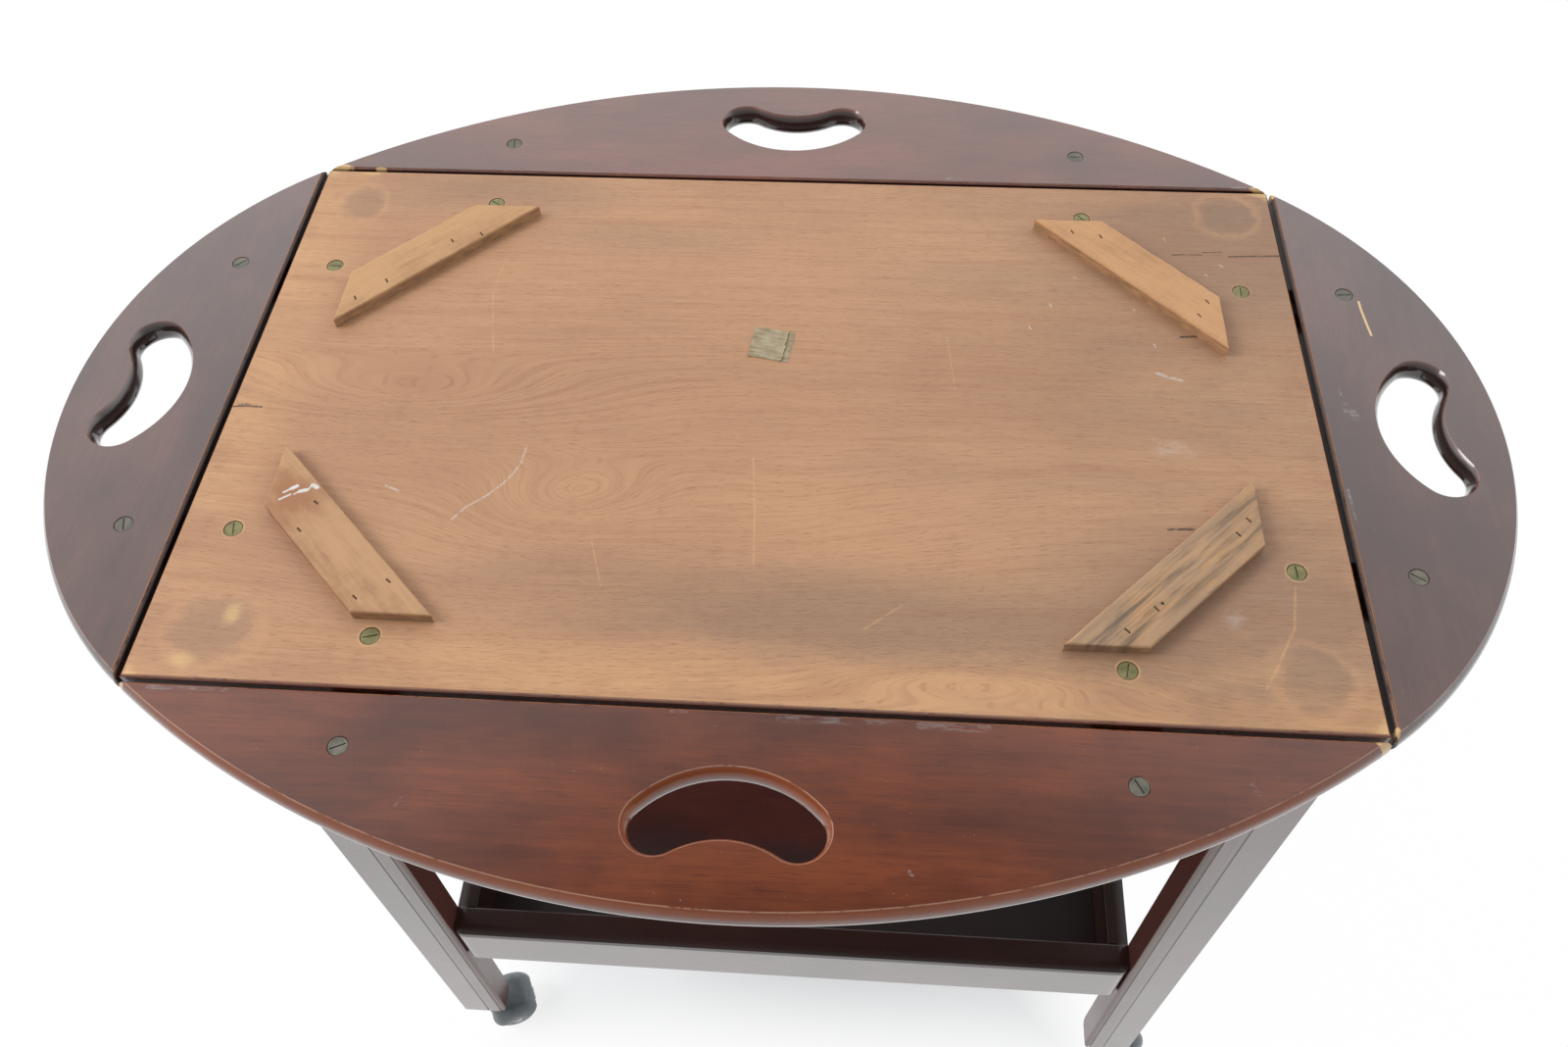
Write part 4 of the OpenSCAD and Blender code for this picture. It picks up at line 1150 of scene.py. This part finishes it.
def quads(net: Array, around: bool = False) -> Array:
    """The four-sided faces between the rows and columns of a net of point numbers.

    Args:
        net: the point numbers, rows by columns.
        around: whether the last column joins the first.

    Returns:
        One row of four point numbers for each face. Seen from outside, a face turns anticlockwise when a step
        along a row and then a step down the rows does.
    """
    after = np.roll(net, -1, 1) if around else net[:, 1:]
    here = net if around else net[:, :-1]
    return np.stack([here[:-1], after[:-1], after[1:], here[1:]], -1).reshape(-1, 4)


def border(net: Array) -> Array:
    """The point numbers round a net's edge, anticlockwise when its rows run to the right and then up."""
    return np.concatenate([net[0, :-1], net[:-1, -1], net[-1, :0:-1], net[:0:-1, 0]])


def swell(x: Array, y: Array, size: float, seed: int) -> Array:
    """Smooth unevenness over a surface.

    Args:
        x, y: the places.
        size: how far apart its swells are, in the same unit.
        seed: picks one of many such surfaces.

    Returns:
        Numbers from 0 to 1: a square net of random numbers, size apart, read at each place. The four numbers
        round it are blended by 3 t^2 - 2 t^3, where t is the place's share of the way from one to the next.
    """
    side = 128
    net = np.random.default_rng(seed).random((side, side))
    u, v = x / size, y / size
    i, j = np.floor(u).astype(int), np.floor(v).astype(int)
    s, t = u - i, v - j
    s, t = s * s * (3.0 - 2.0 * s), t * t * (3.0 - 2.0 * t)
    i, j, k, m = i % side, j % side, (i + 1) % side, (j + 1) % side
    return (net[i, j] * (1.0 - s) + net[k, j] * s) * (1.0 - t) + (net[i, m] * (1.0 - s) + net[k, m] * s) * t


def spaced(length: float, coarse: float, fine: float, near: list[float], reach: float) -> Array:
    """Shares from 0 to 1 along a length, close together where a shape needs it.

    Args:
        length: the length.
        coarse, fine: the steps away from the places named and at them.
        near: the places, as shares of the length.
        reach: how far each reaches.

    Returns:
        The shares. Steps are counted by adding up 1 / step along the length, and each whole count is a share.
    """
    parts = 4000
    along = np.linspace(0.0, 1.0, parts + 1)
    gap = np.min(np.abs(along[:, None] - np.array(near)[None, :]), 1) * length
    count = np.cumsum(length / parts / np.where(gap < reach, fine, coarse))
    count -= count[0]
    return np.interp(np.linspace(0.0, count[-1], int(math.ceil(count[-1])) + 1), count, along)


@dataclass
class Studio:
    """Floor, light and camera."""

    reach: float = 7.0
    eye: Place = (0.0628, -0.5563, 1.3822)
    ahead: Place = (-0.05715, 0.58296, -0.81049)
    right: Place = (0.99757, 0.06571, -0.02307)
    lens: float = 29.635
    sensor: float = 36.0
    walls: tuple[Point, ...] = ((0.00, 0.62), (0.30, 0.95), (0.58, 1.00), (0.70, 0.82), (0.80, 0.62),
                                (0.87, 0.52), (0.90, 0.30), (0.94, 0.06), (1.00, 0.04))
    wall_light: float = 1.70
    front_share: float = 0.40
    wall_colour: Colour = (0.93, 0.98, 1.0)
    lamp_place: Place = (-2.3, -0.2, 2.35)
    lamp_target: Place = (0.0, 0.0, 0.74)
    lamp_size: Point = (1.1, 1.1)
    lamp_radiance: float = 9.0

    def floor(self) -> None:
        """A flat square that the trolley stands on."""
        edge = np.linspace(-self.reach, self.reach, 9)
        x, y = np.meshgrid(edge, edge, indexing="xy")
        points = np.stack([x, y, np.zeros_like(x)], -1)
        net = np.arange(x.size).reshape(x.shape)
        made = put_mesh("studio_floor", points, [quads(net)], StudioFloor().material())

    def sky(self) -> None:
        """Room light from pale walls: brightest at a third of the way up, dim overhead, and weaker in front.

        A ramp over the sine of the elevation gives its strength, as a share of the brightest.
        """
        world = bpy.data.worlds.new("room")
        bpy.context.scene.world = world
        world.use_nodes = True
        graph = Graph(world.node_tree)
        way = graph.node("ShaderNodeTexCoord", out="Generated")
        split = graph.node("ShaderNodeSeparateXYZ", sockets={0: way})
        forward, up = (Signal(graph, split.socket.node.outputs[i]) for i in (1, 2))
        stops = [(at, (share,) * 3) for at, share in self.walls]
        ramp = graph.node("ShaderNodeValToRGB", {"stops": stops}, {"Fac": up})
        share = self.front_share + forward.rise(-0.45, 0.20) * (1.0 - self.front_share)
        strength = ramp * (share * self.wall_light)
        light = graph.node("ShaderNodeBackground", sockets={"Color": self.wall_colour, "Strength": strength})
        graph.close(light, "ShaderNodeOutputWorld")

    def softbox(self) -> None:
        """A soft lamp at the left, which casts the soft shadows.

        Its energy is the radiance of its face times pi and its area, where 1 is a white sheet at full light.
        """
        data = bpy.data.lights.new("left_softbox", "AREA")
        data.shape = "RECTANGLE"
        data.size, data.size_y = self.lamp_size
        data.energy = self.lamp_radiance * math.pi * data.size * data.size_y
        lamp = bpy.data.objects.new(data.name, data)
        turn = (Vector(self.lamp_target) - Vector(self.lamp_place)).to_track_quat("-Z", "Y")
        lamp.matrix_world = Matrix.Translation(self.lamp_place) @ turn.to_matrix().to_4x4()
        lamp.visible_camera = False
        bpy.context.scene.collection.objects.link(lamp)

    def camera(self) -> None:
        """The camera at the photograph's place and angle."""
        data = bpy.data.cameras.new("camera")
        data.lens, data.sensor_width, data.sensor_fit = self.lens, self.sensor, "HORIZONTAL"
        ahead, right = Vector(self.ahead).normalized(), Vector(self.right)
        right = (right - ahead * right.dot(ahead)).normalized()
        up = right.cross(ahead)
        turn = Matrix((right, up, -ahead)).transposed().to_4x4()
        camera = bpy.data.objects.new("camera", data)
        camera.matrix_world = Matrix.Translation(self.eye) @ turn
        bpy.context.scene.collection.objects.link(camera)
        bpy.context.scene.camera = camera

    def build(self) -> None:
        """Sets the studio up."""
        bpy.context.scene.view_settings.view_transform = "Standard"
        self.camera()
        self.floor()
        self.sky()
        self.softbox()
        LOG.info("studio: camera, floor, sky and softbox")


SIDES = {"front": Grain.X, "back": Grain.X, "left": Grain.Y, "right": Grain.Y}


def dress(node: str, finish: Finish, grain: Grain = Grain.X) -> None:
    """Gives a CAD node's material slots a finish.

    Args:
        node: the node's name.
        finish: the finish.
        grain: the way its grain runs.
    """
    node_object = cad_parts[node]
    made = finish.material(grain)
    if not node_object.data.materials:
        node_object.data.materials.append(made)
    for slot in node_object.material_slots:
        slot.material = made
    LOG.info("dressed %s with %s, grain %s", node, finish.name, grain.value)


@dataclass
class Cleat:
    """One sawn cleat with worn arrises, and slits in its face where the staples went in."""

    where: str
    grain: Grain
    staples: Rows
    finish: SawnWood
    seed: int
    step: float = 0.75 * MM
    fine: float = 0.25 * MM
    arris: float = 0.9 * MM
    hollow: float = 0.25 * MM
    waver: float = 0.22 * MM
    slit: Place = (1.9 * MM, 0.50 * MM, 0.8 * MM)
    rings: tuple[float, ...] = (0.12, 0.35, 0.6, 0.85, 1.0)

    def corners(self) -> Array:
        """The corners of the CAD cleat's top.

        Returns:
            One row for each of the four, anticlockwise, with the two of the long side first.
        """
        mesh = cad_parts[f"cleat_{self.where}"].data
        points = np.zeros(len(mesh.vertices) * 3, np.float32)
        mesh.vertices.foreach_get("co", points)
        points = points.reshape(-1, 3).astype(float)
        top = np.unique(points[points[:, 2] > points[:, 2].max() - 1e-5].round(6), axis=0)
        middle = top.mean(0)
        top = top[np.argsort(np.arctan2(top[:, 1] - middle[1], top[:, 0] - middle[0]))]
        longest = int(np.argmax(np.linalg.norm(np.roll(top, -1, 0) - top, axis=1)))
        return np.roll(top, -longest, 0)

    def shares(self, corners: Array) -> tuple[Array, Array]:
        """The grid lines along the cleat and across it, closer at its arrises and at the staples.

        A staple's share across is t = d / width, where d is its distance from the long side. At t the cleat
        starts shift t later and is 1 + (short - 1) t times as long as the long side, so its share along is
        the way passed less shift t, over that length.

        Args:
            corners: the four top corners, with the long side first.

        Returns:
            The shares along the cleat, and those across it.
        """
        ahead = corners[1] - corners[0]
        length = float(np.linalg.norm(ahead))
        ahead = ahead / length
        inward = corners[3] - corners[0]
        shift = float(inward @ ahead)
        width = float(np.linalg.norm(inward - ahead * shift))
        short = float(np.linalg.norm(corners[2] - corners[3])) / length
        places = np.array(self.staples)[:, :2] - corners[0, :2]
        passed = places @ ahead[:2]
        across = np.linalg.norm(places - passed[:, None] * ahead[:2], axis=1) / width
        along = (passed - shift * across) / length / (1.0 + (short - 1.0) * across)
        reach = self.slit[0] + 0.8 * MM
        return (spaced(length, self.step, self.fine, [0.0, 1.0, *along], reach),
                spaced(width, self.step, self.fine, [0.0, 1.0, *across], reach))

    def face(self) -> tuple[Array, Array]:
        """The cleat's upper face.

        A place is the blend of the four corners by its shares s and t. Its height is the top, less the arris,
        which is r - sqrt(r^2 - (r - d)^2) at distance d < r from an edge, less a soft hollow, less the slits,
        each of which is deepest inside a narrow box round its staple.

        Returns:
            The points, rows across by columns along, and how deep in a slit each is, from 0 to 1.
        """
        corners = self.corners()
        s, t = self.shares(corners)
        s, t = s[None, :, None], t[:, None, None]
        near, far = corners[0] * (1 - s) + corners[1] * s, corners[3] * (1 - s) + corners[2] * s
        points = near * (1 - t) + far * t
        x, y = points[..., 0], points[..., 1]
        edge = np.full(x.shape, 1.0)
        for start, end in zip(corners, np.roll(corners, -1, 0)):
            way = (end - start) / np.linalg.norm(end - start)
            edge = np.minimum(edge, (y - start[1]) * way[0] - (x - start[0]) * way[1])
        edge = np.maximum(edge, 0.0)
        broad, fine = swell(x, y, 9.0 * MM, self.seed), swell(x, y, 1.6 * MM, self.seed + 1)
        worn = self.arris * (0.6 + 1.3 * broad ** 2 + 0.5 * fine)
        inside = np.clip(worn - edge, 0.0, None)
        drop = worn - np.sqrt(np.clip(worn ** 2 - inside ** 2, 0.0, None))
        drop += self.hollow * swell(x, y, 22.0 * MM, self.seed + 2)
        drop += 0.05 * MM * swell(x, y, 1.2 * MM, self.seed + 3)
        sunk = np.zeros_like(x)
        for place_x, place_y, turn in self.staples:
            cos, sin = math.cos(math.radians(turn)), math.sin(math.radians(turn))
            u = np.abs((x - place_x) * cos + (y - place_y) * sin) / self.slit[0]
            v = np.abs((y - place_y) * cos - (x - place_x) * sin) / self.slit[1]
            sunk = np.maximum(sunk, np.clip((1.25 - np.maximum(u ** 3, v)) / 0.4, 0.0, 1.0))
        points[..., 2] = points[..., 2] - drop - sunk * self.slit[2]
        return points, sunk

    def build(self) -> None:
        """Makes the cleat: its upper face, walls that waver a little down to the panel, and a flat bottom.

        The walls are rings below the face's edge, each at its share of the way down and set in a little.
        """
        points, sunk = self.face()
        net = np.arange(sunk.size).reshape(sunk.shape)
        ring = border(net)
        rim = points.reshape(-1, 3)[ring]
        middle = rim.mean(0)
        away = np.cumsum(np.linalg.norm(rim - np.roll(rim, 1, 0), axis=1))
        rings, rows = [ring], [points.reshape(-1, 3)]
        for row, share in enumerate(self.rings):
            lower = rim.copy()
            lower[:, 2] = rim[:, 2] * (1.0 - share) + UNDERSIDE * share
            inset = self.waver * swell(away, np.full_like(away, row * 2.0 * MM), 2.6 * MM, self.seed + 5)
            aim = middle - lower
            lower[:, :2] += aim[:, :2] / np.linalg.norm(aim[:, :2], axis=1)[:, None] * inset[:, None]
            rings.append(net.size + row * len(ring) + np.arange(len(ring)))
            rows.append(lower)
        walls = quads(np.array(rings), around=True)[:, ::-1]
        name = f"sawn_cleat_{self.where}"
        made = put_mesh(name, np.concatenate(rows), [quads(net), walls, rings[-1][::-1]],
                        self.finish.material(self.grain), 50.0)
        depth = made.data.attributes.new(SUNK, "FLOAT", "POINT")
        values = np.zeros(len(made.data.vertices), np.float32)
        values[:sunk.size] = sunk.reshape(-1)
        depth.data.foreach_set("value", values)
        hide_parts(f"cleat_{self.where}")
        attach(made, "tray")
        LOG.info("%s: %d points, %d slits", name, len(values), len(self.staples))


@dataclass
class Staples:
    """The crowns of the staples, sunk in the cleats' slits."""

    places: list[tuple[float, ...]]
    finish: BrightSteel
    half: float = 1.75 * MM
    wire: float = 0.30 * MM
    sunk: float = 0.75 * MM
    sides: int = 8

    def build(self) -> None:
        """Carries a round wire along each crown, a straight line that turns down at both ends.

        With q from -1 to 1 and b the share of |q| from 0.8 to 1, a point of the path lies at half * sign(q)
        times the lesser of |q| and 0.8 + 0.2 sin(b pi / 2), and 0.9 (1 - cos(b pi / 2)) mm below the crown.
        The ring of points round it lies square to the path.
        """
        q = np.linspace(-1.0, 1.0, 15)
        bend = np.clip(np.abs(q) - 0.8, 0.0, None) / 0.2 * math.pi / 2
        path = np.stack([self.half * np.sign(q) * np.minimum(np.abs(q), 0.8 + 0.2 * np.sin(bend)),
                         -self.sunk - 0.9 * MM * (1.0 - np.cos(bend))], -1)
        ahead = np.gradient(path, axis=0)
        ahead /= np.linalg.norm(ahead, axis=1)[:, None]
        angle = np.linspace(0.0, 2.0 * math.pi, self.sides, endpoint=False)
        along = path[:, None, 0] - ahead[:, None, 1] * np.sin(angle) * self.wire
        up = path[:, None, 1] + ahead[:, None, 0] * np.sin(angle) * self.wire
        aside = np.broadcast_to(np.cos(angle) * self.wire, along.shape)
        points, faces = [], []
        for number, (x, y, turn) in enumerate(self.places):
            cos, sin = math.cos(math.radians(turn)), math.sin(math.radians(turn))
            right, back = along * cos - aside * sin, along * sin + aside * cos
            points.append(np.stack([x + right, y + back, CLEAT_TOP + up], -1).reshape(-1, 3))
            net = np.arange(along.size).reshape(along.shape) + number * along.size
            faces += [quads(net, around=True)[:, ::-1], net[0], net[-1][::-1]]
        made = put_mesh("staple_crowns", np.concatenate(points), faces, self.finish.material(), 60.0)
        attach(made, "tray")
        LOG.info("staple_crowns: %d", len(self.places))


@dataclass
class BlankPlate:
    """A thin bare foil plate on the panel's underside, with a curled edge and a turned corner."""

    corners: tuple[Point, ...] = ((-0.0160, 0.0414), (0.0115, 0.0365), (0.0150, 0.0638), (-0.0127, 0.0686))
    thick: float = 0.12 * MM
    rows: int = 61

    def layer(self, name: str, low: float, right: float, curl: float, seed: int) -> None:
        """One layer of foil.

        A place is the blend of the four corners by its shares u and v. Its height is low, plus the curl times
        the square of how far u is into its last part, plus shallow creases.

        Args:
            name: the piece's name.
            low: how high its lower face lies over the panel.
            right: the share of the plate's width that it covers.
            curl: how far its right edge stands up.
            seed: picks its unevenness.
        """
        u, v = np.meshgrid(np.linspace(0.0, 1.0, self.rows), np.linspace(0.0, 1.0, self.rows))
        ragged = right - 0.05 * (1.0 - right > 0.05) * swell(v, v, 0.09, seed)
        c = np.array(self.corners)
        s, t = (u * ragged)[..., None], v[..., None]
        flat = (c[0] * (1 - s) + c[1] * s) * (1 - t) + (c[3] * (1 - s) + c[2] * s) * t
        lift = curl * np.clip((u - 0.88) / 0.12, 0.0, 1.0) ** 2 * (0.4 + swell(v, u, 0.2, seed + 1))
        turned = np.clip((0.16 - u - v) / 0.16, 0.0, 1.0)
        lift = lift + 0.10 * MM * swell(u, v * 3.0, 0.35, seed + 2) + turned ** 2 * 0.9 * MM * (curl > 0.0)
        bottom = np.concatenate([flat, (UNDERSIDE + low + lift)[..., None]], -1)
        top = bottom + np.array([0.0, 0.0, self.thick])
        net = np.arange(u.size).reshape(u.shape)
        ring = border(net)
        walls = quads(np.array([ring, ring + u.size]), around=True)[:, ::-1]
        made = put_mesh(name, np.concatenate([top.reshape(-1, 3), bottom.reshape(-1, 3)]),
                        [quads(net), quads(net + u.size)[:, ::-1], walls], OldFoil().material(), 60.0)
        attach(made, "tray")
        LOG.info("%s: %d points", name, 2 * u.size)

    def build(self) -> None:
        """Lays the plate and the torn film on it."""
        self.layer("blank_plate", 0.0, 1.0, 0.0, 31)
        self.layer("blank_plate_film", 0.25 * MM, 0.87, 0.55 * MM, 41)


@dataclass
class Tray:
    """The loose tray: panel, cleats, hinges and four flaps."""

    lacquer: Lacquer = Lacquer()
    board: BareBoard = BareBoard()
    brass: AgedBrass = AgedBrass()
    olive: AgedBrass = AgedBrass("olive_brass", dull=(0.180, 0.156, 0.064), bright=(0.300, 0.255, 0.115))
    # Painted shade and sheen: a greyer, darker copy of the lacquer for the side flaps and a lighter one for
    # the back flap, for how each flap catches the light.
    side_flap_shade_and_sheen: Lacquer = Lacquer("side_flap_shade_and_sheen_lacquer", deep=(0.066, 0.026, 0.020), warm=(0.142, 0.055, 0.040),
                             coat_ior=1.74, streaks=0.15)
    back: Lacquer = Lacquer("back_flap_sheen_lacquer", deep=(0.100, 0.028, 0.016), warm=(0.225, 0.060, 0.032),
                            streaks=0.15)
    steel: BrightSteel = BrightSteel()
    rust: BrightSteel = BrightSteel("rusty_steel", pale=(0.190, 0.120, 0.080), grey=(0.070, 0.040, 0.028))

    def cleats(self) -> list[Cleat]:
        """The four cleats, with their staples.

        Returns:
            The cleats. Each staple is X, Y and the way its slit runs, in degrees.
        """
        clean = SawnWood()
        golden = SawnWood("golden_wood", pale=(0.640, 0.335, 0.158), brown=(0.430, 0.215, 0.095))
        back_left = ((-0.2937, 0.0772, -62.0), (-0.2757, 0.0951, -58.0), (-0.2381, 0.1381, -55.0),
                     (-0.2181, 0.1458, -50.0))
        back_right = ((0.2077, 0.1647, -68.0), (0.2274, 0.1607, -72.0), (0.2945, 0.0982, -60.0),
                      (0.2875, 0.0848, -58.0))
        front_left = ((-0.2714, -0.1003, -35.0), (-0.2761, -0.1211, -40.0), (-0.2122, -0.1551, -38.0),
                      (-0.2292, -0.1675, -42.0))
        front_right = ((0.2352, -0.1515, -52.0), (0.2173, -0.1671, -45.0), (0.2961, -0.0858, -48.0),
                       (0.2887, -0.0968, -50.0))
        return [Cleat("back_left", Grain.RISING, back_left, clean, 3),
                Cleat("back_right", Grain.FALLING, back_right, golden, 13),
                Cleat("front_left", Grain.FALLING, front_left, SmearedWood(), 23),
                Cleat("front_right", Grain.RISING, front_right, SoiledWood(), 33)]

    def dress_frame(self) -> None:
        """Dresses the CAD nodes of the tray."""
        dress("tray_panel", self.board, Grain.X)
        for side, grain in SIDES.items():
            dress(f"flap_{side}", {"front": self.lacquer, "back": self.back}.get(side, self.side_flap_shade_and_sheen), grain)
            dress(f"hinge_leaves_{side}", self.brass)
            dress(f"hinge_nuts_{side}", self.brass)
        dress("hinge_leaves_panel", self.brass)
        dress("hinge_nuts_panel", self.olive)
        dress("hinge_pins", self.steel)
        dress("hinge_springs", self.steel)

    def build(self) -> None:
        """Dresses the tray and adds its cleats, staples and plate."""
        self.dress_frame()
        cleats = self.cleats()
        for cleat in cleats:
            cleat.build()
        Staples([place for cleat in cleats for place in cleat.staples], self.rust).build()
        BlankPlate().build()


@dataclass
class Stand:
    """The stand: legs, top frame, tray-shelf and castors."""

    lacquer: StandLacquer = StandLacquer()
    inside: ShelfLacquer = ShelfLacquer()
    leg: LegLacquer = LegLacquer()
    rail: RailLacquer = RailLacquer()
    # Painted shade: a darker, duller copy of the rail lacquer for the side rails, which lie in the shade
    # under the tray.
    side: RailLacquer = RailLacquer("side_rail_painted_shade", deep=(0.028, 0.011, 0.009), warm=(0.056, 0.020, 0.015),
                                    coat_ior=1.4)
    joinery: Joinery = Joinery()
    steel: BrightSteel = BrightSteel()
    plastic: CastorPlastic = CastorPlastic()

    def build(self) -> None:
        """Dresses the CAD nodes of the stand and the castors."""
        for corner in ("front_left", "front_right", "back_left", "back_right"):
            dress(f"leg_{corner}", self.leg, Grain.Z)
            dress(f"castor_stem_{corner}", self.steel, Grain.Z)
            dress(f"castor_hood_{corner}", self.plastic)
            dress(f"castor_axle_{corner}", self.steel, Grain.Y)
            dress(f"castor_wheels_{corner}", self.plastic)
        for side, grain in SIDES.items():
            dress(f"apron_{side}", self.lacquer, grain)
            dress(f"shelf_rail_{side}", self.rail if side == "front" else self.side, grain)
        dress("shelf_floor", self.inside, Grain.X)
        dress("apron_dowels", self.joinery)
        dress("shelf_dowels", self.joinery)
        dress("corner_blocks", self.joinery, Grain.Z)
        dress("corner_block_screws", self.steel)
        dress("castor_sockets", self.steel, Grain.Z)


def main() -> None:
    """Builds the scene in order."""
    logging.basicConfig(level=logging.INFO, format="%(name)s: %(message)s")
    Studio().build()
    Tray().build()
    Stand().build()


if __name__ == "__main__":
    main()
